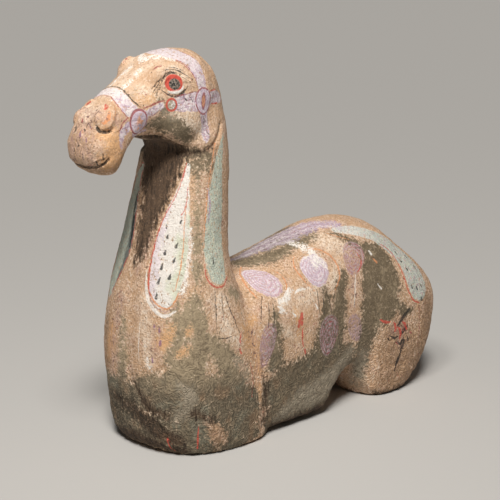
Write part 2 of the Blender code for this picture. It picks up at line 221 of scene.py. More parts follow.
# Fine painted lines, in layers, so that those that lie side by side are apart
BLACK, MAROON, RED, ORANGE, PURPLE, CREAM, LILAC = 0, 1, 2, 3, 4, 5, 6
INK = (
    # lid line, noseband, strap and headband
    (BLACK, BOTH, ((40, -209, 479, 0.4), (41, -205, 487, 0.7), (42, -200, 492, 0.8), (42, -192, 494, 0.9),
        (45, -184, 491, 0.8), (49, -178, 486, 0.6), (51, -169, 480, 0.4))),
    # the slit of the mouth
    (BLACK, BOTH, ((0, -299, 383, 1), (9, -299, 383, 1.1), (18, -298, 385, 0.8), (25, -296, 387, 1.1),
        (31, -292, 391, 1.2), (35, -287, 397, 0.5))),
    # the hollow of the nostril: a black line of painted shade
    (BLACK, BOTH, ((22, -296, 435, 0.9), (25, -294, 431, 1.3), (29, -289, 429, 0.9), (33, -281, 430, 0.5))),
    (BLACK, BOTH, ((0, -247, 477, 0.6), (11, -247, 476, 0.8), (26, -248, 469, 1), (33, -246, 462, 0.9),
        (38, -240, 456, 0.7))),
    (MAROON, BOTH, ((41, -236, 454, 0.7), (41, -225, 456, 1.1), (43, -217, 459, 1.1),
        (46, -208, 461, 0.8))),
    (MAROON, BOTH, ((32, -176, 503, 0.4), (38, -170, 499, 0.5), (44, -164, 492, 0.7), (50, -160, 482, 0.6),
        (53, -159, 473, 0.4))),
    (MAROON, BOTH, ((30, -211, 498, 1), (31, -205, 501, 1.8), (34, -202, 502, 0.8))),
    (MAROON, BOTH, ((36, -258, 444, 0.5), (36, -266, 437, 0.9), (36, -272, 428, 0.7))),
    # threads between the roundels and their pendants
    (BLACK, BOTH, ((70, -64, 189, 0.4), (80, -75, 176, 0.7), (88, -82, 164, 0.4))),
    (BLACK, BOTH, ((81, -54, 180, 0.4), (88, -58, 168, 0.7), (92, -62, 150, 0.5))),
    (BLACK, BOTH, ((79, 31, 182, 0.5), (86, 29, 166, 0.8), (90, 28, 142, 0.4))),
    (BLACK, BOTH, ((82, 49, 174, 0.4), (86, 53, 150, 0.6))),
    # cracks at the shoulder, and the line that hangs from the rump
    (BLACK, LEFT, ((83, -159, 216, 0.3), (88, -162, 193, 0.7), (93, -165, 164, 0.4))),
    (BLACK, LEFT, ((85, -142, 208, 0.3), (90, -137, 186, 0.7), (94, -126, 157, 0.4))),
    (MAROON, BOTH, ((92, 231, 123, 0.6), (93, 232, 93, 0.6), (92, 229, 63, 0.3))),
    # dark marks on the haunch
    (BLACK, LEFT, ((94, 198, 78, 1.6), (94, 195, 70, 2.8), (93, 191, 60, 2), (92, 187, 50, 3),
        (92, 181, 36, 1.6))),
    (BLACK, LEFT, ((93, 169, 90, 0.8), (94, 177, 85, 2.2), (94, 184, 86, 1))),
    (BLACK, LEFT, ((94, 190, 88, 2), (94, 197, 93, 3.2), (94, 205, 98, 1.4))),
    # dark streaks of the right tongue
    (BLACK, LEFT, ((-26, -194, 331, 0.6), (-24, -199, 314, 2), (-21, -205, 294, 2.4), (-18, -214, 266, 1))),
    (BLACK, LEFT, ((84, 66, 120, 0.2), (83, 70, 100, 0.5), (84, 74, 84, 0.2))),
)
SECOND_INK = (
    (BLACK, BOTH, ((41, -201, 497, 0.4), (41, -191, 498, 0.7), (44, -181, 495, 0.8), (47, -174, 490, 0.8),
        (51, -165, 483, 0.4))),
    (BLACK, BOTH, ((42, -209, 474, 0.5), (45, -204, 469, 1), (49, -199, 466, 1.2), (52, -190, 465, 1.2),
        (53, -182, 469, 1), (53, -174, 476, 0.5))),
    (BLACK, BOTH, ((40, -207, 488, 0.6), (37, -220, 475, 0.5))),
    (MAROON, BOTH, ((0, -263, 468, 0.4), (13, -264, 466, 0.6), (24, -265, 460, 0.7), (31, -263, 452, 0.6),
        (36, -257, 444, 0.5))),
    (MAROON, BOTH, ((6, -163, 518, 0.3), (22, -154, 513, 0.5), (35, -146, 505, 0.4))),
    (PURPLE, BOTH, ((39, -230, 440, 0.3), (41, -221, 444, 0.5), (44, -213, 449, 0.3))),
    (BLACK, BOTH, ((78, -60, 183, 0.3), (86, -67, 168, 0.7), (91, -72, 152, 0.4))),
    (BLACK, BOTH, ((81, 41, 177, 0.3), (86, 39, 162, 0.7), (88, 37, 146, 0.4))),
    (BLACK, LEFT, ((85, -149, 212, 0.3), (90, -151, 193, 0.6), (93, -152, 174, 0.3))),
    (BLACK, LEFT, ((90, -163, 157, 0.4), (93, -150, 155, 0.8), (94, -142, 156, 0.4))),
    (BLACK, LEFT, ((93, 184, 102, 1.6), (93, 196, 113, 3), (93, 208, 122, 1.6))),
    (BLACK, LEFT, ((94, 184, 78, 1.2), (94, 190, 74, 2), (94, 197, 82, 1))),
    (BLACK, BOTH, ((48, -181, 463, 0.5), (49, -178, 458, 0.8))),
    (BLACK, BOTH, ((54, -152, 436, 0.4), (55, -150, 428, 0.8))),
)
THIRD_INK = (
    (BLACK, BOTH, ((40, -210, 483, 0.6), (38, -219, 471, 0.5))),
    (BLACK, BOTH, ((42, -210, 477, 0.6), (41, -217, 468, 0.5))),
    (BLACK, BOTH, ((39, -192, 500, 0.3), (41, -184, 499, 0.5), (45, -175, 495, 0.3))),
    (MAROON, BOTH, ((32, -177, 507, 0.4), (36, -171, 505, 0.9), (41, -166, 500, 0.9),
        (44, -163, 495, 0.4))),
    (MAROON, BOTH, ((50, -192, 465, 0.3), (53, -180, 466, 0.6), (54, -167, 468, 0.4))),
    (PURPLE, BOTH, ((50, -192, 449, 0.3), (53, -180, 450, 0.4), (54, -167, 450, 0.3))),
    (BLACK, BOTH, ((52, -172, 462, 0.5), (53, -169, 456, 0.8))),
    (BLACK, BOTH, ((54, -146, 418, 0.4), (55, -144, 412, 0.7))),
)
RED_STROKES = (
    (RED, BOTH, ((51, -136, 466, 0.8), (46, -121, 466, 1))),
    (RED, BOTH, ((49, -131, 449, 0.8), (45, -119, 448, 1))),
    # outline of the white tongue
    (RED, LEFT, ((45, -171, 378, 0.5), (44, -176, 363, 0.9), (42, -180, 350, 0.5), (40, -186, 337, 0.7),
        (36, -191, 324, 0.6), (32, -197, 312, 0.7), (29, -203, 297, 0.8), (27, -208, 280, 1),
        (26, -214, 262, 0.9), (26, -219, 242, 1.2), (29, -223, 223, 1.2), (34, -225, 213, 0.8))),
    (RED, LEFT, ((53, -178, 350, 0.4), (57, -182, 335, 0.7), (57, -186, 323, 0.6), (52, -189, 314, 0.4))),
    # outline of the blue tongue and of the rump tongue
    (RED, BOTH, ((74, -169, 252, 0.4), (76, -170, 240, 0.7), (79, -166, 228, 1), (82, -156, 221, 1.1),
        (80, -143, 220, 1), (73, -129, 229, 0.7))),
    (RED, BOTH, ((60, 178, 218, 0.6), (66, 196, 204, 0.9), (76, 202, 186, 0.9), (84, 206, 168, 1),
        (89, 209, 149, 1.1), (92, 218, 133, 1.2), (92, 232, 126, 1))),
    (RED, BOTH, ((65, 127, 213, 0.5), (70, 130, 205, 0.9), (73, 126, 196, 0.9), (75, 116, 189, 0.5))),
    # smears
    (RED, LEFT, ((90, -7, 158, 1.8), (91, -9, 150, 3.4), (91, -8, 143, 2))),
    (RED, LEFT, ((91, -14, 150, 1.4), (91, -15, 142, 2.6))),
    (RED, LEFT, ((92, -7, 138, 1), (92, -8, 124, 1.3), (92, -6, 112, 0.9))),
    (RED, LEFT, ((92, -4, 107, 1.4), (92, -2, 102, 1.8))),
    (RED, LEFT, ((94, -123, 158, 0.5), (96, -127, 149, 1.3), (96, -126, 142, 0.6))),
    (RED, LEFT, ((96, -128, 136, 1.4), (96, -126, 130, 1.6))),
    (RED, LEFT, ((89, 152, 116, 1.4), (91, 160, 112, 2.2), (93, 168, 110, 1.2))),
    (RED, LEFT, ((93, 176, 108, 1.4), (93, 179, 102, 2.2), (94, 178, 95, 1.2))),
    (RED, LEFT, ((94, 194, 106, 1.2), (94, 199, 101, 2.4), (94, 203, 93, 1.4))),
    (RED, LEFT, ((94, 186, 98, 1.8), (94, 190, 90, 2.4), (94, 188, 82, 1.2))),
    (RED, LEFT, ((54, -217, 26, 0.8), (55, -217, 16, 1.4), (57, -217, 6, 0.9))),
    (RED, LEFT, ((85, -191, 44, 0.5), (84, -191, 30, 1), (82, -190, 12, 1.3))),
    (RED, LEFT, ((92, -108, 112, 0.4), (93, -104, 88, 0.5), (93, -106, 66, 0.3))),
)
ORANGE_STROKES = (
    (ORANGE, BOTH, ((13, -270, 459, 0.3), (20, -269, 460, 0.5), (28, -272, 452, 0.6),
        (31, -277, 443, 0.5))),
    (ORANGE, LEFT, ((33, -224, 216, 0.8), (40, -224, 207, 1.2), (49, -221, 201, 1.3), (58, -217, 200, 1.1),
        (64, -211, 208, 0.9), (66, -206, 220, 0.5))),
    (ORANGE, LEFT, ((53, -180, 327, 0.3), (56, -186, 302, 0.6), (60, -192, 272, 0.7), (62, -201, 242, 0.7),
        (62, -208, 223, 0.4))),
    (ORANGE, BOTH, ((56, -130, 412, 0.3), (60, -138, 392, 0.5), (62, -148, 362, 0.6), (64, -155, 331, 0.6),
        (67, -161, 300, 0.7), (70, -166, 271, 0.5))),
    # loose loops about the flank roundels
    (ORANGE, BOTH, ((10, -44, 213, 0.8), (22, -58, 211, 1), (38, -67, 205, 1.1), (56, -73, 197, 1.4),
        (70, -73, 189, 0.9))),
    (ORANGE, BOTH, ((44, -18, 212, 0.5), (58, -14, 205, 0.8), (70, -17, 195, 0.9), (79, -30, 183, 0.6))),
    (ORANGE, BOTH, ((42, 25, 223, 0.6), (50, 16, 215, 1), (60, 12, 208, 1.2), (72, 15, 196, 1.2),
        (80, 26, 181, 0.6))),
    (ORANGE, BOTH, ((42, 52, 229, 0.5), (50, 68, 225, 1.2), (60, 79, 216, 1.4), (69, 84, 203, 1.4),
        (76, 81, 189, 1.3), (81, 67, 175, 0.7))),
    (CREAM, LEFT, ((22, -220, 244, 0.6), (25, -224, 222, 2), (33, -228, 206, 2.5), (44, -227, 196, 2.6),
        (56, -221, 190, 2.2), (66, -211, 197, 1.2))),
    (CREAM, LEFT, ((20, -231, 176, 0.3), (19, -232, 150, 0.7), (20, -233, 128, 0.4))),
    (CREAM, BOTH, ((76, 112, 188, 0.5), (80, 107, 170, 0.8), (83, 102, 144, 0.5))),
    (LILAC, LEFT, ((63, -152, 345, 0.8), (65, -151, 324, 1.4), (66, -155, 304, 0.8))),
    (ORANGE, BOTH, ((34, 94, 239, 0.3), (44, 108, 236, 0.6), (52, 124, 231, 0.3))),
)
DABS = (
    (BLACK, LEFT, ((53, -195, 280, 0.9), (52, -197, 275, 1.8))),
    (BLACK, LEFT, ((54, -200, 262, 0.9), (53, -202, 257, 1.9))),
    (BLACK, LEFT, ((42, -210, 254, 0.9), (41, -212, 248, 1.9))),
    (BLACK, LEFT, ((54, -208, 242, 0.9), (53, -210, 237, 2))),
    (BLACK, LEFT, ((42, -215, 237, 0.9), (41, -217, 230, 2.1))),
    (BLACK, LEFT, ((41, -219, 217, 0.9), (42, -221, 211, 2.1))),
    (BLACK, LEFT, ((41, -200, 289, 0.9), (41, -201, 286, 1.8))),
    (BLACK, LEFT, ((42, -205, 270, 0.9), (41, -206, 266, 1.8))),
    (BLACK, LEFT, ((52, -187, 308, 0.9), (51, -188, 305, 1.4))),
    (BLACK, LEFT, ((37, -199, 301, 0.9), (38, -200, 298, 1.2))),
    (BLACK, BOTH, ((65, 208, 201, 0.9), (67, 210, 198, 1.5))),
    (BLACK, BOTH, ((72, 209, 191, 0.9), (73, 212, 187, 1.7))),
    (BLACK, BOTH, ((78, 216, 179, 0.9), (79, 219, 175, 1.7))),
    (BLACK, BOTH, ((63, 230, 191, 0.9), (64, 233, 187, 1.6))),
    (BLACK, BOTH, ((71, 241, 176, 0.9), (72, 243, 172, 1.7))),
    (BLACK, BOTH, ((87, 218, 154, 0.9), (88, 219, 150, 1.8))),
    (BLACK, BOTH, ((87, 229, 150, 0.9), (88, 231, 146, 1.9))),
    (BLACK, BOTH, ((90, 237, 133, 0.9), (91, 239, 129, 1.9))),
    (BLACK, BOTH, ((84, 241, 151, 0.9), (85, 243, 147, 1.6))),
    (BLACK, BOTH, ((77, -153, 258, 0.9), (78, -154, 250, 1.2))),
    (RED, BOTH, ((15, -275, 459, 1.6), (19, -277, 457, 2.6))),
    (ORANGE, BOTH, ((27, -279, 452, 1.6), (31, -284, 446, 2.6), (30, -290, 441, 2))),
    (PURPLE, LEFT, ((50, -224, 175, 1.2), (50, -224, 170, 1.4))),
    (PURPLE, LEFT, ((52, -224, 158, 1.4), (52, -224, 153, 1.8))),
    (PURPLE, LEFT, ((43, -226, 178, 1.2), (43, -226, 175, 1.4))),
    (PURPLE, LEFT, ((41, -228, 134, 1.2), (41, -228, 129, 1.4))),
    (BLACK, LEFT, ((-14, -300, 433, 0.8), (-11, -301, 429, 1.4), (-12, -302, 426, 0.6))),
    (PURPLE, LEFT, ((-1, -302, 428, 0.6), (1, -303, 424, 1.5), (3, -303, 422, 0.6))),
    (BLACK, LEFT, ((4, -301, 432, 0.6), (6, -301, 430, 1.2))),
    (PURPLE, LEFT, ((-16, -304, 420, 0.8), (-14, -305, 416, 1.3))),
    (BLACK, LEFT, ((-1, -307, 415, 0.6), (1, -307, 411, 1.1))),
    (PURPLE, LEFT, ((12, -304, 422, 0.6), (14, -304, 418, 1.2))),
    (BLACK, LEFT, ((-8, -308, 407, 0.8), (-6, -308, 404, 1))),
    (MAROON, LEFT, ((-7, -296, 443, 0.8), (-4, -297, 439, 1.6))),
    (PURPLE, LEFT, ((11, -298, 438, 0.6), (13, -299, 434, 1))),
    (BLACK, BOTH, ((30, -294, 403, 0.5), (31, -293, 397, 0.9))),
    (BLACK, BOTH, ((24, -299, 394, 0.9), (25, -298, 389, 1.2))),
    (MAROON, BOTH, ((12, -301, 388, 0.7), (17, -301, 389, 1.1))),
    (BLACK, LEFT, ((92, 164, 87, 1.2), (93, 168, 83, 0.8))),
    (MAROON, LEFT, ((94, 211, 87, 1.6), (94, 214, 84, 0.8))),
    (MAROON, LEFT, ((94, 180, 79, 1.4), (94, 184, 75, 0.8))),
    (BLACK, LEFT, ((94, 204, 81, 1.2), (94, 207, 76, 1.8))),
    (CREAM, LEFT, ((82, -38, 178, 1.8), (80, -30, 182, 3), (76, -22, 188, 2.2), (72, -14, 192, 0.8))),
    (CREAM, LEFT, ((79, -10, 184, 0.8), (78, -2, 187, 2), (77, 6, 187, 0.8))),
    (CREAM, LEFT, ((84, -48, 174, 1), (85, -42, 171, 2), (87, -38, 166, 0.8))),
    (CREAM, LEFT, ((88, -24, 162, 0.8), (89, -20, 157, 1.8))),
    (CREAM, LEFT, ((86, 22, 164, 1), (87, 25, 158, 1.6))),
    (CREAM, LEFT, ((67, 150, 213, 1.6), (69, 152, 208, 1.8))),
    (CREAM, LEFT, ((86, 152, 168, 0.9), (88, 158, 160, 1.2))),
    (ORANGE, LEFT, ((76, 152, 206, 1.2), (79, 158, 198, 1.8))),
)
LINES = {"ink": INK, "second ink": SECOND_INK, "third ink": THIRD_INK, "red paint": RED_STROKES,
         "orange paint": ORANGE_STROKES, "dabs": DABS}

# Soft patches, laid out as thick strokes. First the olive film, and where it is worn off again.
OLIVE = (
    # face and jaw
    (BOTH, ((43, -214, 462, 1), (48, -206, 446, 4))),
    (BOTH, ((38, -220, 431, 7), (43, -208, 433, 12), (49, -197, 428, 13), (53, -186, 418, 12),
        (51, -174, 406, 8))),
    (BOTH, ((0, -196, 396, 16), (26, -178, 392, 12), (46, -160, 388, 9), (60, -146, 384, 7))),
    (BOTH, ((50, -166, 374, 8), (56, -152, 372, 6), (60, -140, 384, 4))),
    # chest
    (LEFT, ((78, -188, 214, 3), (77, -190, 204, 9), (78, -194, 186, 17), (79, -198, 162, 21),
        (80, -200, 138, 23), (78, -205, 112, 26))),
    (LEFT, ((68, -208, 206, 2), (64, -213, 190, 7), (68, -214, 160, 7), (66, -217, 136, 9))),
    (LEFT, ((86, -186, 160, 10), (93, -166, 144, 13), (96, -150, 122, 16), (97, -134, 100, 20))),
    (LEFT, ((0, -231, 68, 16), (20, -231, 80, 22), (52, -225, 84, 30), (84, -196, 78, 36),
        (97, -150, 66, 40), (97, -114, 56, 24), (94, -100, 40, 12))),
    (LEFT, ((-14, -232, 180, 2), (-12, -232, 160, 4), (-14, -233, 130, 6), (-16, -232, 96, 9))),
    # the foot of chest and barrel
    (BOTH, ((-30, -226, 26, 22), (0, -230, 28, 30), (52, -224, 26, 32), (86, -190, 24, 32),
        (97, -150, 24, 32), (96, -112, 24, 20))),
    (LEFT, ((92, -70, 60, 18), (92, -40, 62, 32), (91, 0, 62, 38), (90, 40, 70, 38), (86, 74, 76, 28),
        (84, 92, 60, 18), (82, 104, 40, 12))),
    (LEFT, ((92, -56, 22, 26), (90, 0, 20, 28), (88, 60, 24, 26))),
    # neck, between the tongues
    (LEFT, ((58, -162, 370, 2), (62, -166, 332, 3), (65, -173, 296, 5), (70, -176, 268, 7),
        (76, -183, 236, 6))),
    (LEFT, ((82, -130, 212, 6), (84, -112, 206, 9), (82, -90, 204, 9), (74, -78, 206, 7),
        (58, -80, 212, 3))),
    # flank
    (LEFT, ((87, -57, 170, 4), (90, -57, 150, 7), (92, -59, 128, 10), (92, -60, 100, 14))),
    (LEFT, ((82, 46, 182, 5), (86, 46, 164, 9), (90, 44, 140, 15), (90, 42, 112, 24))),
    (LEFT, ((75, 90, 190, 6), (80, 78, 174, 11), (84, 70, 150, 15), (86, 66, 124, 20), (86, 68, 96, 22))),
    # spine
    (BOTH, ((-30, -38, 212, 9), (-3, -33, 216, 15), (13, -19, 219, 16), (22, 0, 223, 14), (24, 22, 229, 11),
        (26, 48, 235, 9), (30, 72, 240, 7))),
    (BOTH, ((-30, -30, 214, 8), (-12, -10, 221, 11), (0, 12, 227, 11), (7, 36, 233, 10), (14, 58, 239, 8),
        (22, 80, 244, 5))),
    (BOTH, ((36, 100, 243, 2), (48, 116, 236, 4), (60, 132, 226, 7))),
    # haunch
    (LEFT, ((66, 150, 216, 12), (74, 160, 196, 26), (83, 158, 172, 36), (87, 156, 148, 37),
        (88, 142, 130, 24), (86, 130, 104, 17), (84, 122, 80, 14), (80, 120, 56, 11), (74, 121, 36, 7))),
    (LEFT, ((91, 186, 140, 14), (93, 198, 124, 10), (93, 212, 124, 6))),
    # the right side, plainer
    (RIGHT, ((70, -202, 190, 12), (80, -192, 160, 22), (90, -178, 120, 28), (94, -150, 84, 34),
        (92, -120, 50, 28))),
    (RIGHT, ((20, -230, 74, 20), (60, -220, 66, 26), (90, -180, 60, 30))),
    (RIGHT, ((64, -160, 340, 5), (70, -172, 280, 8), (78, -182, 230, 12))),
    (RIGHT, ((92, -66, 110, 16), (92, -30, 84, 24), (90, 20, 92, 22), (86, 66, 84, 22), (84, 76, 140, 14))),
    (RIGHT, ((66, 156, 210, 14), (84, 158, 168, 30), (87, 152, 136, 30), (86, 128, 96, 16),
        (82, 118, 56, 12))),
)
WORN = (
    (LEFT, ((84, -22, 172, 14), (88, -14, 156, 26), (90, -14, 136, 21), (91, -18, 112, 11))),
    (LEFT, ((88, 10, 160, 12), (90, 14, 144, 9))),
    (LEFT, ((75, 112, 194, 8), (80, 104, 172, 8), (83, 99, 148, 8), (84, 94, 124, 7), (86, 84, 100, 4))),
    (LEFT, ((92, 197, 142, 8), (93, 211, 132, 9))),
    (LEFT, ((93, 172, 78, 20), (93, 205, 74, 34), (92, 195, 36, 30))),
    (LEFT, ((92, -174, 44, 8), (92, -166, 28, 11), (94, -156, 20, 7))),
    (LEFT, ((81, -201, 176, 4), (80, -202, 170, 5))),
    (LEFT, ((80, -206, 148, 5), (74, -210, 143, 6))),
    (LEFT, ((65, -217, 176, 6), (62, -221, 163, 8), (55, -225, 152, 8))),
    (LEFT, ((96, -138, 122, 2), (96, -124, 110, 5), (96, -114, 94, 3))),
    (LEFT, ((92, -92, 112, 3), (92, -88, 80, 4), (92, -88, 44, 4), (93, -92, 16, 3))),
    (RIGHT, ((90, 10, 140, 20), (88, 40, 120, 10))),
    (RIGHT, ((92, 200, 70, 26), (92, 190, 40, 20))),
)

# Dirt of the ground and painted shadow, and white slip. Under the jaw the dark is a painted shadow; down
# the throat earth and the head's painted shadow lie together.
DIRT_AND_SHADOW = (
    # the throat: earth, with the painted shadow that the head casts on it
    (LEFT, ((12, -182, 380, 30), (12, -188, 355, 25), (9, -195, 330, 20), (7, -202, 305, 16),
        (5, -208, 282, 12), (3, -214, 262, 9), (1, -218, 248, 4))),
    (RIGHT, ((12, -182, 380, 22), (8, -190, 350, 14))),
    # under the jaw: painted shadow
    (BOTH, ((8, -222, 414, 9), (20, -214, 410, 9), (22, -198, 408, 11), (26, -184, 400, 12),
        (34, -174, 394, 8), (44, -166, 390, 6))),
    (BOTH, ((0, -190, 398, 20), (14, -182, 392, 14))),
    (BOTH, ((52, -156, 391, 3), (60, -142, 396, 1))),
    (LEFT, ((-40, -226, 62, 6), (0, -229, 56, 9), (30, -227, 42, 12), (66, -211, 22, 8))),
    (LEFT, ((2, -231, 96, 2), (16, -231, 80, 5), (34, -229, 64, 6), (56, -221, 60, 5))),
    (LEFT, ((84, -196, 62, 5), (92, -178, 50, 4))),
    (LEFT, ((92, -78, 84, 1), (92, -77, 60, 3), (92, -80, 24, 4))),
    (BOTH, ((0, -228, 12, 14), (34, -225, 8, 10), (70, -205, 3, 8))),
    (BOTH, ((88, -60, 4, 7), (88, 0, 4, 9), (86, 60, 8, 10))),
    (BOTH, ((84, 150, 0, 4), (84, 200, 0, 4), (60, 240, 2, 6))),
    (BOTH, ((0, 255, 60, 24), (0, 262, 110, 14))),
)
SLIP = (
    (BOTH, ((30, -176, 508, 3), (10, -196, 511, 5), (0, -205, 508, 5))),
    (LEFT, ((66, -186, 298, 5), (68, -192, 266, 7), (69, -199, 238, 6), (70, -204, 220, 4))),
    (LEFT, ((80, -40, 179, 3), (80, -26, 180, 4), (74, -16, 189, 3))),
    (LEFT, ((86, -46, 170, 1), (88, -34, 162, 2))),
    (LEFT, ((77, -4, 187, 1), (78, 12, 186, 2), (78, 22, 184, 1))),
    (LEFT, ((12, 42, 236, 2), (22, 43, 234, 4), (33, 47, 231, 6), (43, 51, 227, 7), (52, 55, 221, 7),
        (60, 52, 213, 6), (62, 42, 209, 5), (61, 30, 210, 4))),
    (LEFT, ((28, -232, 152, 0), (31, -232, 138, 1), (38, -231, 118, 2))),
    (BOTH, ((26, 108, 250, 3), (37, 130, 244, 6), (48, 158, 234, 6), (56, 180, 222, 4))),
    (BOTH, ((18, -268, 470, 2), (10, -214, 496, 3))),
)

# Orange and pink tints
TAN = (
    (BOTH, ((31, -290, 425, 9), (36, -280, 418, 14), (36, -281, 404, 15), (31, -290, 394, 10))),
    (BOTH, ((39, -236, 462, 4), (41, -224, 464, 7))),
    (LEFT, ((81, -201, 178, 8), (80, -203, 168, 8))),
    (LEFT, ((82, -206, 148, 9), (72, -210, 143, 10))),
    (LEFT, ((65, -217, 178, 8), (62, -221, 163, 10), (55, -225, 152, 9))),
    (LEFT, ((92, -92, 170, 8), (94, -110, 150, 10), (92, -94, 120, 8), (92, -90, 60, 4))),
    (LEFT, ((-34, -222, 160, 10), (-40, -221, 120, 9))),
    (LEFT, ((86, -20, 166, 1), (90, -16, 146, 3), (91, -18, 122, 2))),
    (BOTH, ((33, -238, 467, 5), (39, -230, 461, 6))),
)
BLUSH = (
    (BOTH, ((-10, -300, 430, 18), (6, -302, 420, 16), (14, -302, 402, 12))),
    (BOTH, ((10, -290, 448, 10), (24, -280, 440, 6), (34, -262, 440, 8))),
    (LEFT, ((-20, -228, 200, 9), (-30, -226, 140, 10), (-30, -224, 96, 10))),
    (LEFT, ((16, -212, 286, 6), (14, -219, 262, 7), (8, -222, 240, 6))),
    (LEFT, ((70, 112, 200, 6), (80, 106, 172, 6), (83, 100, 144, 5))),
    (LEFT, ((92, -100, 150, 5), (93, -96, 120, 5), (92, -90, 80, 3))),
    (LEFT, ((93, 176, 98, 8), (94, 196, 96, 10), (94, 190, 78, 7))),
    (LEFT, ((92, -12, 62, 9), (91, 10, 52, 9), (88, 40, 44, 8))),
    (LEFT, ((46, -226, 168, 5), (46, -227, 140, 6))),
)

# Paler clay; a brown wash that is earth and painted shade together, darkest under the lips and the jaw,
# down the throat, on the right of the chest, the low haunch, the rear and the foot; greyer clay; and the
# black crust of the foot
PALE = (
    (BOTH, ((4, -263, 468, 3), (3, -242, 480, 4), (6, -225, 490, 4), (14, -211, 498, 4),
        (22, -196, 505, 3))),
    (BOTH, ((39, -203, 497, 5), (43, -188, 496, 8), (50, -178, 486, 6))),
    (BOTH, ((0, -298, 444, 5), (6, -290, 451, 6), (10, -280, 457, 4))),
    (BOTH, ((50, -194, 440, 8), (56, -179, 434, 11), (56, -165, 428, 12), (54, -155, 414, 9))),
    (BOTH, ((30, -232, 470, 10), (38, -218, 462, 8))),
    (LEFT, ((86, -162, 206, 10), (88, -152, 198, 14), (91, -152, 182, 13), (94, -148, 163, 9),
        (95, -131, 146, 8))),
    (LEFT, ((38, 76, 236, 10), (48, 89, 231, 14), (57, 104, 224, 10))),
    (LEFT, ((83, -5, 175, 8), (82, 19, 178, 11), (79, 42, 184, 8), (76, 66, 186, 9), (66, 84, 204, 7))),
    (LEFT, ((74, -49, 187, 3), (80, -39, 181, 7), (85, -30, 172, 6), (88, -16, 161, 2))),
    (LEFT, ((91, -48, 151, 3), (92, -33, 136, 4), (92, -13, 116, 2))),
    (LEFT, ((24, -227, 208, 6), (30, -231, 170, 7), (36, -231, 130, 5))),
    (RIGHT, ((80, -160, 200, 14), (88, -150, 170, 12), (82, 0, 172, 14), (84, -30, 160, 10))),
)
BROWN_AND_SHADE = (
    # painted shade under the lower lip and the chin
    (BOTH, ((4, -292, 374, 12), (20, -287, 376, 13), (32, -282, 384, 12), (37, -272, 392, 8))),
    (LEFT, ((12, -182, 380, 34), (12, -188, 355, 28), (9, -195, 330, 22), (8, -203, 300, 17),
        (5, -212, 268, 10))),
    # painted shadow under the jaw
    (BOTH, ((26, -196, 400, 20), (44, -168, 388, 12), (60, -142, 392, 8))),
    # the low haunch: a brown wash that is partly painted shade
    (LEFT, ((94, 180, 100, 22), (93, 186, 70, 34), (92, 190, 46, 40), (90, 190, 16, 40))),
    (BOTH, ((86, 252, 130, 14), (86, 254, 90, 20), (88, 246, 50, 24), (86, 236, 16, 26))),
    (BOTH, ((-10, -229, 22, 16), (50, -224, 20, 14), (90, -178, 28, 20), (96, -140, 26, 16))),
    (BOTH, ((90, -60, 20, 14), (90, 0, 18, 12), (88, 60, 26, 12))),
    (BOTH, ((0, 262, 120, 50), (0, 250, 50, 50))),
    (LEFT, ((-50, -222, 160, 14), (-52, -222, 110, 16))),
)
GREY = (
    (LEFT, ((84, 95, 84, 7), (84, 78, 64, 14), (88, 50, 50, 18), (90, 16, 40, 20), (90, -19, 34, 16),
        (91, -50, 20, 10))),
    (LEFT, ((76, -211, 100, 7), (82, -202, 84, 10), (76, -207, 68, 9), (67, -213, 54, 6))),
    (LEFT, ((97, -136, 124, 4), (96, -121, 109, 6), (96, -114, 94, 4))),
    (LEFT, ((78, 122, 70, 9), (72, 123, 44, 14), (62, 132, 22, 14))),
    (BOTH, ((26, -252, 468, 3), (28, -244, 469, 5), (28, -236, 470, 5))),
    (BOTH, ((44, -210, 446, 4), (50, -196, 438, 3))),
    (RIGHT, ((90, -20, 40, 16), (88, 40, 50, 12), (90, -170, 80, 12))),
)
CRUST = (
    (LEFT, ((-40, -226, 58, 6), (-20, -227, 52, 8), (0, -228, 46, 9), (24, -226, 42, 8),
        (48, -218, 38, 5))),
    (RIGHT, ((4, -228, 62, 14), (40, -226, 57, 12), (30, -226, 31, 14))),
)

# The patches whose edges are kept together, three by three; the olive film comes first. The dirt patches
# hold painted shadow too, and the brown ones painted shade.
STAINS = {"stains": (OLIVE, DIRT_AND_SHADOW, SLIP), "tints": (TAN, BLUSH, CRUST), "washes_and_shade": (PALE, BROWN_AND_SHADE, GREY)}


def smooth_run(stations):
    """Points on a smooth curve through the stations, with the half widths carried along."""
    keys = np.array(stations, float)
    if len(keys) == 2:
        return keys
    ends = np.vstack([2 * keys[0] - keys[1], keys, 2 * keys[-1] - keys[-2]])
    run = [keys[0]]
    for a, b, c, d in zip(ends, ends[1:], ends[2:], ends[3:]):
        for step in range(1, CURVE_STEPS + 1):
            t = step / CURVE_STEPS
            bend = (c - a) * t + (2 * a - 5 * b + 4 * c - d) * t**2 + (3 * b - a - 3 * c + d) * t**3
            run.append(b + bend / 2)
    return np.array(run)


def turned(places, side):
    """The places as the left side of the horse sees them: mirrored for a stroke on the right."""
    own = places.copy()
    own[:, 0] = np.abs(own[:, 0]) if side == BOTH else side * own[:, 0]
    return own


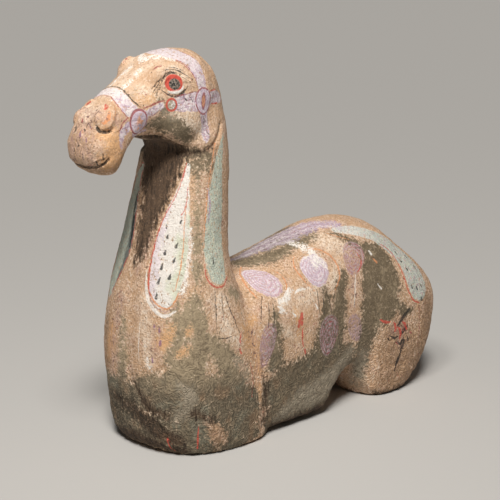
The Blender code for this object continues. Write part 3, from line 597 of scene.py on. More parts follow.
class Followed:
    """Where the points near a stroke lie: which they are, how far from its middle line over the skin,
    how far across it (below 0 on its left), how far inside its ends, and its half width there."""

    def __init__(self, places, facing, side, stations):
        run = smooth_run(stations)
        own = turned(places, side)
        room = PATCH_REACH + run[:, 3].max()
        inside = (own > run[:, :3].min(0) - room) & (own < run[:, :3].max(0) + room)
        self.near = np.flatnonzero(inside.all(1))
        own = own[self.near]
        outward = facing[self.near].copy()
        mirrored = np.sign(places[self.near, 0]) < 0 if side == BOTH else np.full(len(own), side < 0)
        outward[mirrored, 0] *= -1
        steps = np.diff(run[:, :3], axis=0)
        lengths = np.linalg.norm(steps, axis=1)
        reached = np.concatenate([[0], np.cumsum(lengths)])
        best = np.full(len(own), np.inf)
        values = np.zeros((len(own), 4))
        for i, (step, length) in enumerate(zip(steps, lengths)):
            away = own - run[i, :3]
            share = away @ step / length**2
            held = np.clip(share, 0, 1)
            half = run[i, 3] + held * (run[i + 1, 3] - run[i, 3])
            sideways = np.cross(step / length, outward)
            sideways /= np.maximum(np.linalg.norm(sideways, axis=1), 0.01)[:, None]
            across = (away * sideways).sum(1)
            past = (share - held) * length
            apart = np.linalg.norm(away - held[:, None] * step, axis=1)
            sunk = np.sqrt(np.maximum(apart**2 - across**2 - past**2, 0))
            away_over_skin = np.hypot(across, past) + np.maximum(sunk - PATH_SLACK, 0)
            travelled = reached[i] + share * length
            if i > 0:
                travelled = np.maximum(travelled, reached[i])
            if i < len(steps) - 1:
                travelled = np.minimum(travelled, reached[i + 1])
            within = np.minimum(travelled, reached[-1] - travelled)
            nearer = away_over_skin - half < best
            best = np.where(nearer, away_over_skin - half, best)
            found = np.stack([away_over_skin, across, within, half], 1)
            values[nearer] = found[nearer]
        self.apart, self.across, self.within, self.half_width = values.T


def read_points(mesh, what):
    flat = np.empty(len(mesh.vertices) * 3)
    mesh.vertices.foreach_get(what, flat)
    return flat.reshape(-1, 3)


def write_points(mesh, places):
    mesh.vertices.foreach_set("co", places.reshape(-1))
    mesh.update()


def drawn_points(mesh):
    """Where the points of the mesh are in the drawing."""
    return read_points(mesh, "co") / MILLIMETRE - DRAWING_PLACE


def eased(places, edges, rounds):
    """The places, each drawn halfway to the middle of its neighbours, again and again."""
    starts = np.concatenate([edges[:, 0], edges[:, 1]])
    others = np.concatenate([edges[:, 1], edges[:, 0]])
    neighbours = np.bincount(starts, minlength=len(places))[:, None]
    for _ in range(rounds):
        drawn = places[others].T
        sums = [np.bincount(starts, weights=part, minlength=len(places)) for part in drawn]
        places = (places + np.stack(sums, 1) / neighbours) / 2
    return places


def settled(thing):
    """The object with its modifiers worked into its mesh."""
    graph = bpy.context.evaluated_depsgraph_get()
    mesh = bpy.data.meshes.new_from_object(thing.evaluated_get(graph))
    thing.modifiers.clear()
    thing.data = mesh
    return thing


def clay_skin():
    """A fine copy of the solid horse, with its flat facets run together and its form kept."""
    shape = bmesh.new()
    shape.from_mesh(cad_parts["horse_figure"].data)
    bmesh.ops.remove_doubles(shape, verts=shape.verts, dist=MERGE_DISTANCE)
    mesh = bpy.data.meshes.new("painted_horse")
    shape.to_mesh(mesh)
    shape.free()
    horse = bpy.data.objects.new("painted_horse", mesh)
    bpy.context.scene.collection.objects.link(horse)
    refined = horse.modifiers.new("fine clay", "REMESH")
    refined.mode = "VOXEL"
    refined.voxel_size = CLAY_GRAIN
    settled(horse)
    places = read_points(horse.data, "co")
    edges = np.empty(len(horse.data.edges) * 2, int)
    horse.data.edges.foreach_get("vertices", edges)
    edges = edges.reshape(-1, 2)
    soft = eased(places, edges, SOFTENING_ROUNDS)
    soft += eased(places - soft, edges, SOFTENING_ROUNDS)
    write_points(horse.data, soft)
    return horse


def lumps(places, size):
    """An even unevenness between -1 and 1, whose swellings are about the size across."""
    return np.array([noise.noise(Vector(place)) for place in places / size])


def held_in_box(places):
    """The places, with any that lie outside the solid's box brought back to its sides."""
    return np.clip(places, *(np.array(corner) for corner in SOLID_BOX))


def shaped(horse):
    """Presses the strokes, and gives the clay its hand-made unevenness, pits and worn crust."""
    mesh = horse.data
    places = drawn_points(mesh)
    facing = read_points(mesh, "normal")
    rise = np.zeros(len(places))
    for depth, side, stations in PRESSED:
        stroke = Followed(places, facing, side, stations)
        rise[stroke.near] -= depth * np.exp(-((stroke.apart / stroke.half_width) ** 2))
    for size, height in UNEVENNESS:
        rise += height * lumps(places, size)
    low = np.clip((LOW_CLAY - places[:, 2]) / LOW_CLAY, 0, 1)
    for size, height in LOW_UNEVENNESS:
        rise += low * height * lumps(places, size)
    crust = np.clip(0.5 - patch_edges(places, facing, CRUST) / CRUST_BORDER, 0, 1)
    pits = CRUST_PIT_DEPTH * np.abs(lumps(places, CRUST_PIT_SIZE))
    rise -= crust * (CRUST_DEPTH + pits + CRUST_GRAIN_DEPTH * lumps(places, CRUST_GRAIN_SIZE))
    write_points(mesh, held_in_box((places + facing * rise[:, None] + DRAWING_PLACE) * MILLIMETRE))


def painted_closely(horse):
    """How near each point is to a fine line or a disc: 1 on it, 0 well away."""
    mesh = horse.data
    places = drawn_points(mesh)
    facing = read_points(mesh, "normal")
    beyond = disc_readings(places)[0][:, 2]
    for lines in LINES.values():
        beyond = np.minimum(beyond, patch_edges(places, facing, [line[1:] for line in lines]))
    return np.clip(1 - beyond / LINE_REACH, 0, 1)


def thinned(horse):
    """Takes faces out of the plainer clay, so that fine paint and carved places keep theirs."""
    plain = horse.vertex_groups.new(name="plain clay")
    weights = 1 - DETAIL_KEPT * painted_closely(horse)
    levels = np.round(weights * WEIGHT_LEVELS).astype(int)
    for level in np.unique(levels):
        members = np.flatnonzero(levels == level).tolist()
        plain.add(members, level / WEIGHT_LEVELS, "REPLACE")
    faces = sum(len(face.vertices) - 2 for face in horse.data.polygons)
    fewer = horse.modifiers.new("fewer faces", "DECIMATE")
    fewer.ratio = min(1.0, SKIN_FACES / faces)
    fewer.vertex_group = plain.name
    fewer.vertex_group_factor = 1.0
    fewer.use_collapse_triangulate = True
    settled(horse)
    horse.vertex_groups.clear()
    write_points(horse.data, held_in_box(read_points(horse.data, "co")))


def patch_edges(places, facing, patches):
    """How far each point is outside the nearest patch; inside one it is below 0."""
    beyond = np.full(len(places), PATCH_REACH)
    for side, stations in patches:
        stroke = Followed(places, facing, side, stations)
        beyond[stroke.near] = np.minimum(beyond[stroke.near], stroke.apart - stroke.half_width)
    return beyond


def stroke_readings(places, facing, strokes, fine):
    """Across and inside the ends of the nearest stroke, then how far outside its edge; and its kind.

    A fine line has its half width as the third. Its middle lies where across passes through 0, so it
    can be finer than the faces are. Away from every line the half width is far below 0.
    """
    readings = np.zeros((len(places), 3))
    readings[:, 2] = -PATCH_REACH if fine else PATCH_REACH
    kinds = np.zeros(len(places))
    nearest = np.full(len(places), LINE_REACH if fine else PATCH_REACH)
    for kind, side, stations in strokes:
        stroke = Followed(places, facing, side, stations)
        beyond = stroke.apart - stroke.half_width
        closer = beyond < nearest[stroke.near]
        chosen = stroke.near[closer]
        nearest[chosen] = beyond[closer]
        third = stroke.half_width if fine else beyond
        readings[chosen] = np.stack([stroke.across, stroke.within, third], 1)[closer]
        kinds[chosen] = kind
    return readings, kinds


def disc_readings(places):
    """Forward, up and outside the nearest disc, then its kind, then its rings, cover and size.

    Forward and up are 1 at the disc's edge.
    """
    own = turned(places, BOTH)
    readings = np.zeros((len(places), 3))
    readings[:, 2] = PATCH_REACH
    kinds = np.zeros(len(places))
    makes = np.zeros((len(places), 3))
    for kind, centre, front, top, rings, cover, front_taper, low_taper in DISCS:
        centre, front, top = (np.array(point, float) for point in (centre, front, top))
        forward = front - centre
        ahead = np.linalg.norm(forward)
        forward /= ahead
        upward = top - centre - (top - centre) @ forward * forward
        above = np.linalg.norm(upward)
        upward /= above
        away = own - centre
        u = away @ forward / ahead
        v = away @ upward / above
        held_u, held_v = (np.clip(share, -NARROWING_REACH, NARROWING_REACH) for share in (u, v))
        narrow_u = u / (1 + low_taper * held_v)
        narrow_v = v / (1 - front_taper * held_u)
        size = (ahead + above) / 2
        depth = np.maximum(np.abs(away @ np.cross(forward, upward)) - 2 * PATH_SLACK, 0) / size
        beyond = (np.sqrt(narrow_u**2 + narrow_v**2 + depth**2) - 1) * size
        closer = beyond < readings[:, 2]
        readings[closer] = np.stack([narrow_u, narrow_v, beyond], 1)[closer]
        kinds[closer] = kind
        makes[closer] = (rings, cover, size)
    return readings, kinds, makes


def write_reading(mesh, name, values):
    """Keeps a number, or three together, at each point of the mesh, for the material to read."""
    if values.ndim == 1:
        mesh.attributes.new(name, "FLOAT", "POINT").data.foreach_set("value", values)
    else:
        mesh.attributes.new(name, "FLOAT_VECTOR", "POINT").data.foreach_set("vector", values.reshape(-1))


def marked(horse):
    """Lays out the paint and the stains on the finished skin."""
    mesh = horse.data
    places = drawn_points(mesh)
    facing = read_points(mesh, "normal")
    for name, strokes in {"tongue": TONGUES, "band": BANDS, **LINES}.items():
        readings, kinds = stroke_readings(places, facing, strokes, fine=name in LINES)
        write_reading(mesh, name, readings)
        write_reading(mesh, name + " kind", kinds)
    for name, values in zip(("disc", "disc kind", "disc make"), disc_readings(places)):
        write_reading(mesh, name, values)
    worn_off = -patch_edges(places, facing, WORN)
    for name, stains in STAINS.items():
        edges = [patch_edges(places, facing, patches) for patches in stains]
        if name == "stains":
            edges[0] = np.maximum(edges[0], worn_off)
        write_reading(mesh, name, np.stack(edges, 1))


class Reading:
    """A value that varies over the surface. Arithmetic on it adds Math nodes to its finish."""

    def __init__(self, finish, socket):
        self.finish = finish
        self.socket = socket

    def maths(self, operation, *others):
        sockets = dict(enumerate((self,) + others))
        return self.finish.node("Math", {"operation": operation}, sockets).reading(0)

    def __add__(self, other):
        return self.maths("ADD", other)

    def __sub__(self, other):
        return self.maths("SUBTRACT", other)

    def __mul__(self, other):
        return self.maths("MULTIPLY", other)

    def __rsub__(self, other):
        sockets = {0: other, 1: self}
        return self.finish.node("Math", {"operation": "SUBTRACT"}, sockets).reading(0)

    __radd__ = __add__
    __rmul__ = __mul__

    def __abs__(self):
        return self.maths("ABSOLUTE")

    def most(self, other):
        return self.maths("MAXIMUM", other)

    def wave(self):
        return self.maths("SINE")

    def rise(self, low, high):
        """From 0 at low to 1 at high, eased at both ends; low may be the greater."""
        settings = {"interpolation_type": "SMOOTHSTEP"}
        sockets = {"Value": self, "From Min": low, "From Max": high}
        return self.finish.node("MapRange", settings, sockets).reading("Result")

    def near(self, middle, width):
        """1 where the value is at the middle, 0 from the width away."""
        return abs(self - middle).rise(width, width * 0.5)


class Node:
    """A node of a finish, whose outputs can be read."""

    def __init__(self, finish, made):
        self.finish = finish
        self.made = made

    def reading(self, output):
        return Reading(self.finish, self.made.outputs[output])


class Finish:
    """The material of one piece, whose nodes are all added by one method."""

    def __init__(self, name):
        self.material = bpy.data.materials.new(name)
        self.material.use_nodes = True
        self.tree = self.material.node_tree
        self.surface = self.tree.nodes["Principled BSDF"]

    def node(self, kind, settings, sockets):
        made = self.tree.nodes.new("ShaderNode" + kind)
        for setting, value in settings.items():
            setattr(made, setting, value)
        for socket, value in sockets.items():
            self.plug(made.inputs[socket], value)
        return Node(self, made)

    def plug(self, socket, value):
        if isinstance(value, Reading):
            self.tree.links.new(value.socket, socket)
        else:
            socket.default_value = value

    def kept(self, name):
        """A number kept at the points of the mesh."""
        return self.node("Attribute", {"attribute_name": name}, {}).reading("Fac")

    def kept_parts(self, name):
        """Three numbers kept together at the points of the mesh."""
        return self.parts(self.node("Attribute", {"attribute_name": name}, {}).reading("Vector"))

    def parts(self, vector):
        split = self.node("SeparateXYZ", {}, {0: vector})
        return [split.reading(axis) for axis in range(3)]

    def sized(self, vector, size, turn=(0.0, 0.0, 0.0)):
        """The vector counted in grains of the size, along axes that are turned by the angles."""
        sockets = {"Vector": vector, "Scale": size, "Rotation": turn}
        return self.node("Mapping", {"vector_type": "TEXTURE"}, sockets).reading(0)


class Coats:
    """A colour, and the colours laid over it one after another."""

    def __init__(self, finish, first):
        self.finish = finish
        self.colour = (*first, 1.0)

    def lay(self, over, mask):
        """Lays a colour, or the colour of other coats, over the rest where the mask is 1."""
        top = over.colour if isinstance(over, Coats) else (*over, 1.0)
        sockets = {0: mask, 6: self.colour, 7: top}
        self.colour = self.finish.node("Mix", {"data_type": "RGBA"}, sockets).reading(2)
        return self


class Grain:
    """The unevenness that all layers of the finish share, over places in millimetres."""

    def __init__(self, finish):
        coordinates = finish.node("TexCoord", {}, {}).reading("Object")
        self.finish = finish
        self.place = finish.sized(coordinates, (MILLIMETRE, MILLIMETRE, MILLIMETRE))
        _, self.back, self.up = finish.parts(self.place)
        self.fine = self.cloud(1.3, 1.3, 2.0)
        self.flakes = self.cloud(2.6, 2.6, 3.0, 0.65)
        self.small = self.cloud(5.0, 5.0, 4.0, 0.6)
        self.broad = self.cloud(19.0, 19.0, 5.0, 0.6)
        self.mottled = self.cloud(24.0, 30.0, 4.0, 0.5, (0.0, 0.5, 0.3))
        self.streaks = self.cloud(3.2, 24.0, 4.0, 0.62)
        self.hairs = self.cloud(1.4, 9.0, 2.0, turn=(0.12, 0.1, 0.0))
        self.brushed = self.cloud(2.2, 15.0, 3.0, 0.6, (1.0, 0.5, 0.3))
        self.curls = (self.cloud(13.0, 13.0, 1.0, 0.5) * 44.0 + self.small * 4.0).wave()
        self.ragged = self.small * 1.1 + self.broad * 0.8 + self.flakes * 0.8 - 1.35
        self.patchy = self.small * 0.5 + self.flakes * 0.5

    def cloud(self, width, height, detail, roughness=0.55, turn=(0.0, 0.0, 0.0)):
        """A soft pattern, whose grains have this width and height along the turned axes."""
        places = self.finish.sized(self.place, (width, width, height), turn)
        sockets = {"Vector": places, "Scale": 1.0, "Detail": detail, "Roughness": roughness}
        return self.finish.node("TexNoise", {}, sockets).reading(0)

    def specks(self, size, share, radius):
        """Round specks in a share of the cells, which are the size across."""
        places = self.finish.sized(self.place, (size, size, size))
        cell = self.finish.node("TexVoronoi", {"feature": "F1"}, {"Vector": places, "Scale": 1.0})
        chance = self.finish.parts(cell.reading("Color"))[0]
        return cell.reading("Distance").rise(radius, radius * 0.55) * chance.rise(share + 0.01, share)


# Colours of the clay, the stains and the paint
CLAY_PALE = (0.80, 0.585, 0.42)
CLAY_CREAM = (0.92, 0.77, 0.62)
CLAY_BUFF = (0.64, 0.41, 0.255)
CLAY_PINK = (0.60, 0.36, 0.26)
CLAY_BROWN = (0.32, 0.185, 0.105)
CLAY_RUST = (0.40, 0.14, 0.09)
SLIP_WHITE = (0.95, 0.90, 0.84)
OLIVE_GREY = (0.168, 0.129, 0.081)
OLIVE_PALE = (0.385, 0.305, 0.20)
OLIVE_LOW = (0.104, 0.090, 0.063)
STONE_GREY = (0.36, 0.31, 0.235)
STONE_GREEN = (0.20, 0.195, 0.145)
# The dark and brown earth colours also paint the shadow under the jaw and on the throat, and shade low down
SHADOW_AND_EARTH_DARK = (0.045, 0.030, 0.020)
SHADOW_AND_EARTH_BROWN = (0.095, 0.061, 0.039)
SHADE_AND_EARTH_WASH = (0.30, 0.185, 0.108)
TAN_ORANGE = (0.76, 0.43, 0.205)
BLUSH_PINK = (0.52, 0.33, 0.275)
PLUM_SPECK = (0.13, 0.07, 0.075)
CRUST_BLACK = (0.048, 0.041, 0.030)
PAINT_WHITE = (0.86, 0.82, 0.77)
PAINT_GREENISH = (0.66, 0.70, 0.54)
PAINT_BLUE = (0.58, 0.66, 0.57)
PAINT_SKY = (0.56, 0.60, 0.57)
PAINT_SLATE = (0.10, 0.13, 0.13)
PAINT_LAVENDER = (0.52, 0.39, 0.51)
PAINT_LILAC_PALE = (0.80, 0.70, 0.77)
PAINT_MAUVE = (0.46, 0.32, 0.33)
PAINT_DUSK = (0.42, 0.34, 0.38)
PAINT_RED = (0.62, 0.10, 0.07)
PAINT_ORANGE = (0.74, 0.32, 0.15)
PAINT_MAROON = (0.36, 0.085, 0.085)
PAINT_PURPLE = (0.30, 0.16, 0.24)
PAINT_BLACK = (0.022, 0.022, 0.022)
RING_LINE = (0.50, 0.20, 0.25)
PUPIL_GREY = (0.24, 0.20, 0.165)


# In the layers below, the two numbers of a rise are where a mask begins and where it is full, and
# the number that a mask ends with is the most of the colour that is laid there.
def clay_ground(finish, grain):
    """Buff clay, pale and pink in turns, with brown streaks and dark, rusty and cream flakes, and a brown
    wash that is partly painted shade.
    """
    flakes, small, broad, streaks = grain.flakes, grain.small, grain.broad, grain.streaks
    pale_edge, brown_and_shade_edge, grey_edge = finish.kept_parts("washes_and_shade")
    plain = 1 - grain.up.rise(370.0, 410.0) * 0.4
    ground = Coats(finish, CLAY_BUFF)
    ground.lay(CLAY_PALE, (broad * 0.7 + streaks * 0.3).rise(0.44, 0.62) * 0.85)
    ground.lay(CLAY_PINK, (small * 0.4 + broad * 0.6).rise(0.50, 0.60) * 0.5)
    pale = (pale_edge + grain.ragged * 24).rise(9.0, -8.0)
    ground.lay(CLAY_PALE, pale * 0.8)
    ground.lay(CLAY_CREAM, pale * grain.patchy.rise(0.47, 0.55) * 0.75)
    stroked = abs(grain.brushed - 0.5).rise(0.035, 0.010) * small.rise(0.46, 0.54)
    ground.lay(SLIP_WHITE, pale * stroked * 0.7)
    # The brown wash: earth and painted shade together, under the lips and jaw, on the throat, the low
    # haunch, the rear and the foot
    brown = (brown_and_shade_edge + grain.ragged * 26).rise(10.0, -9.0)
    ground.lay(SHADE_AND_EARTH_WASH, brown * (0.36 + small.rise(0.6, 0.4) * 0.45))
    ground.lay(CLAY_BROWN, (streaks * 0.4 + small * 0.6).rise(0.45, 0.34) * plain * 0.6)
    cracked = abs(streaks - 0.5).rise(0.024, 0.006) * broad.rise(0.44, 0.52)
    ground.lay(CLAY_BROWN, cracked * plain * 0.6)
    clumped = broad.rise(0.40, 0.58)
    ground.lay(CLAY_BROWN, flakes.rise(0.43, 0.35) * clumped * 0.7)
    bright = plain * (1 - brown * 0.75)
    ground.lay(CLAY_CREAM, (flakes * 0.6 + small * 0.4).rise(0.54, 0.60) * bright * 0.65)
    ground.lay(CLAY_CREAM, grain.curls.rise(0.6, 1.0) * flakes.rise(0.49, 0.57) * bright * 0.55)
    ground.lay(CLAY_BROWN, grain.curls.rise(-0.6, -1.0) * flakes.rise(0.51, 0.44) * plain * 0.6)
    rust = grain.specks(5.0, 0.3, 0.36)
    ground.lay(CLAY_RUST, rust * broad.rise(0.48, 0.56) * small.rise(0.42, 0.5) * 0.7)
    pits = grain.specks(4.2, 0.22, 0.28)
    ground.lay(SHADOW_AND_EARTH_DARK, pits * small.rise(0.44, 0.52) * 0.75)
    grey = (grey_edge + grain.ragged * 26).rise(6.0, -7.0)
    return ground, grey


def olive_film(finish, grain, grey):
    """The colour of the olive film: brushed, paler towards the front, and darker and mixed near the ground,
    where the darkening is partly painted shade.
    """
    front = grain.back.rise(-20.0, -130.0) * grain.up.rise(375.0, 340.0)
    blotches = grain.broad * 0.6 + grain.small * 0.4
    face = grain.up.rise(370.0, 400.0)
    film = Coats(finish, OLIVE_GREY)
    film.lay(OLIVE_PALE, blotches.rise(0.50, 0.66) * (0.6 - face * 0.4))
    film.lay(OLIVE_PALE, front * blotches.rise(0.34, 0.50))
    film.lay(OLIVE_PALE, front * grain.up.rise(130.0, 190.0) * 0.6)
    saddle = grain.up.rise(190.0, 222.0) * grain.back.rise(110.0, 70.0)
    film.lay(OLIVE_PALE, saddle * blotches.rise(0.36, 0.56) * 0.3)
    # Darker towards the ground: the film's own darker colour, and partly painted shade of the low parts
    low = grain.up.rise(128.0, 72.0) * (1 - grain.back.rise(-90.0, -50.0) * 0.4)
    film.lay(OLIVE_LOW, low * 0.8)
    film.lay(SHADE_AND_EARTH_WASH, low * grain.mottled.rise(0.53, 0.66) * 0.6)
    film.lay(STONE_GREEN, low * (grain.mottled * 0.8 + grain.small * 0.2).rise(0.46, 0.38) * 0.7)
    film.lay(OLIVE_PALE, grain.curls.rise(0.3, 1.0) * grain.small.rise(0.42, 0.54) * 0.45)
    film.lay(OLIVE_LOW, grain.curls.rise(-0.3, -1.0) * grain.small.rise(0.58, 0.46) * 0.45)
    film.lay(OLIVE_LOW, face * 0.2)
    film.lay(STONE_GREY, grey * grain.small.rise(0.30, 0.46) * 0.85)
    film.lay(CLAY_PALE, grain.flakes.rise(0.58, 0.70) * 0.18)
    scribble = abs(grain.brushed - 0.53).rise(0.022, 0.006) + grain.flakes.rise(0.56, 0.66) * 0.6
    film.lay(CLAY_PALE, low * scribble * grain.small.rise(0.48, 0.60) * 0.4)
    return film.lay(SHADOW_AND_EARTH_DARK, low * grain.flakes.rise(0.42, 0.32) * 0.7)


def stained(finish, grain, ground, grey):
    """Slip, tan and pink tints, the olive film, dark soil together with painted shadow under the jaw and
    down the throat, and the black crust of the foot.
    """
    olive_edge, dirt_and_shadow_edge, slip_edge = finish.kept_parts("stains")
    tan_edge, blush_edge, crust_edge = finish.kept_parts("tints")
    ragged, flakes, small, broad = grain.ragged, grain.flakes, grain.small, grain.broad

    ground.lay(STONE_GREY, grey * small.rise(0.36, 0.50) * 0.6)
    tan = (tan_edge + ragged * 24).rise(7.0, -7.0) * small.rise(0.28, 0.48)
    ground.lay(TAN_ORANGE, tan * 0.75)
    blush = (blush_edge + ragged * 30).rise(6.0, -7.0)
    ground.lay(BLUSH_PINK, blush * grain.streaks.rise(0.40, 0.56) * 0.6)
    ground.lay(PLUM_SPECK, blush * grain.patchy.rise(0.45, 0.40) * broad.rise(0.44, 0.54) * 0.9)

    haze = (olive_edge + ragged * 12).rise(11.0, -4.0)
    film = (olive_edge + ragged * 28).rise(3.5, -3.5)
    chips = flakes.rise(0.60, 0.68) * small.rise(0.52, 0.60)
    cover = (haze * 0.28 + film * 0.72) * (1 - chips * 0.45)
    ground.lay(olive_film(finish, grain, grey), cover * 0.97)

    slip = (slip_edge + ragged * 18).rise(1.5, -2.0) * (grain.brushed * 0.5 + flakes * 0.5).rise(0.42, 0.48)
    ground.lay(SLIP_WHITE, slip * 0.9)

    # Dark soil, and the painted shadow under the jaw and down the throat
    dirt_and_shadow = (dirt_and_shadow_edge + ragged * 12 + (grain.streaks - 0.5) * 34).rise(7.0, -6.0)
    earth_and_shadow = Coats(finish, SHADOW_AND_EARTH_DARK)
    earth_and_shadow.lay(SHADOW_AND_EARTH_BROWN, (grain.streaks * 0.6 + grain.broad * 0.4).rise(0.38, 0.53))
    earth_and_shadow.lay(SHADE_AND_EARTH_WASH, abs(grain.streaks - 0.52).rise(0.03, 0.01) * 0.3)
    ground.lay(earth_and_shadow, dirt_and_shadow * (flakes * 0.4 + small * 0.6).rise(0.78, 0.58))
    crust = (crust_edge + ragged * 34).rise(5.0, -6.0)
    crust = crust * (small * 0.4 + flakes * 0.6).rise(0.60, 0.44)
    ground.lay(CRUST_BLACK, crust * 0.6)
    return slip * 0.8 + film * 0.5


def tongues_laid(finish, grain, ground):
    """The hanging tongues, white, greenish blue and slate, each with its streaks."""
    across, _, edge = finish.kept_parts("tongue")
    kind = finish.kept("tongue kind")
    rump = kind.near(RUMP, 0.5)
    white = Coats(finish, PAINT_WHITE)
    white.lay(PAINT_GREENISH, (grain.broad + across * -0.016).rise(0.54, 0.80) * 0.8)
    white.lay(PAINT_LILAC_PALE, (across * 0.03 + grain.streaks).rise(0.72, 0.95) * 0.7)
    white.lay(CLAY_BUFF, (grain.small * 0.5 + grain.streaks * 0.5).rise(0.44, 0.36) * 0.6)
    cool = Coats(finish, PAINT_BLUE)
    cool.lay(PAINT_SKY, rump * 0.7)
    cool.lay(PAINT_GREENISH, (grain.streaks * 0.6 + grain.small * 0.4).rise(0.46, 0.60) * 0.8)
    cool.lay(PAINT_WHITE, abs(grain.hairs - 0.5).rise(0.05, 0.01) * grain.small.rise(0.44, 0.52) * 0.6)
    cool.lay(PAINT_LAVENDER, rump * grain.small.rise(0.52, 0.62) * 0.6)
    cool.lay(PAINT_WHITE, rump * grain.back.rise(190.0, 130.0) * 0.6)
    cool.lay(PAINT_SLATE, abs(grain.streaks - 0.47).rise(0.018, 0.006) * 0.6)
    cool.lay(CLAY_BUFF, (grain.small * 0.6 + grain.flakes * 0.4).rise(0.54, 0.62) * 0.6)
    slate = kind.near(SLATE, 0.5)
    cool.lay(PAINT_SLATE, slate * (grain.streaks * 0.6 + across * 0.028).rise(0.52, 0.70) * 0.9)
    body = white.lay(cool, kind.near(BLUE, 0.5).most(rump).most(slate))
    worn = grain.patchy.rise(0.36, 0.44)
    laid = (edge + (grain.small - 0.5) * 7.0 + (grain.flakes - 0.5) * 5.0).rise(0.7, -0.9) * worn
    ground.lay(body, laid * 0.95)
    rim = edge.near(-1.0, 1.4) * slate * grain.streaks.rise(0.42, 0.50)
    ground.lay(PAINT_RED, rim * 0.7)
    return laid


def bands_laid(finish, grain, ground):
    """The harness of lavender and white, and the band along the spine."""
    across, _, edge = finish.kept_parts("band")
    kind = finish.kept("band kind")
    spine = kind.near(SPINE_BAND, 0.5)
    dabbed = (grain.small * 0.6 + grain.flakes * 0.4).rise(0.47, 0.53)
    noseband = kind.near(NOSEBAND, 0.5) * (grain.broad * 0.5 + grain.small * 0.5).rise(0.40, 0.52)
    white = noseband.most(dabbed * 0.8).most(grain.up.rise(486.0, 504.0) * 0.6)
    body = Coats(finish, PAINT_LAVENDER)
    body.lay(PAINT_DUSK, spine * grain.back.rise(110.0, 20.0))
    body.lay(PAINT_WHITE, white * (1 - spine * 0.8) * 0.85)
    pale = (grain.small * 0.5 + grain.brushed * 0.5).rise(0.46, 0.56)
    body.lay(PAINT_LILAC_PALE, pale * (1 - spine * 0.4) * 0.45)
    stripes = (across * 0.5 + grain.small * 6.0 + grain.broad * 9.0).wave()
    body.lay(PAINT_PURPLE, spine * stripes.rise(0.5, 0.95) * grain.streaks.rise(0.42, 0.54) * 0.5)
    body.lay(SLIP_WHITE, spine * stripes.rise(-0.3, -0.9) * grain.flakes.rise(0.44, 0.54) * 0.45)
    body.lay(RING_LINE, grain.flakes.rise(0.42, 0.34) * (1 - spine) * 0.5)
    worn = grain.patchy.rise(0.38, 0.46)
    soft = (edge + grain.ragged * 30).rise(2.0, -4.0) * spine
    crisp = (edge + (grain.small - 0.5) * 8.0 + (grain.flakes - 0.5) * 4.0).rise(0.6, -0.8) * (1 - spine)
    ground.lay(body, (crisp + soft) * worn * 0.92)


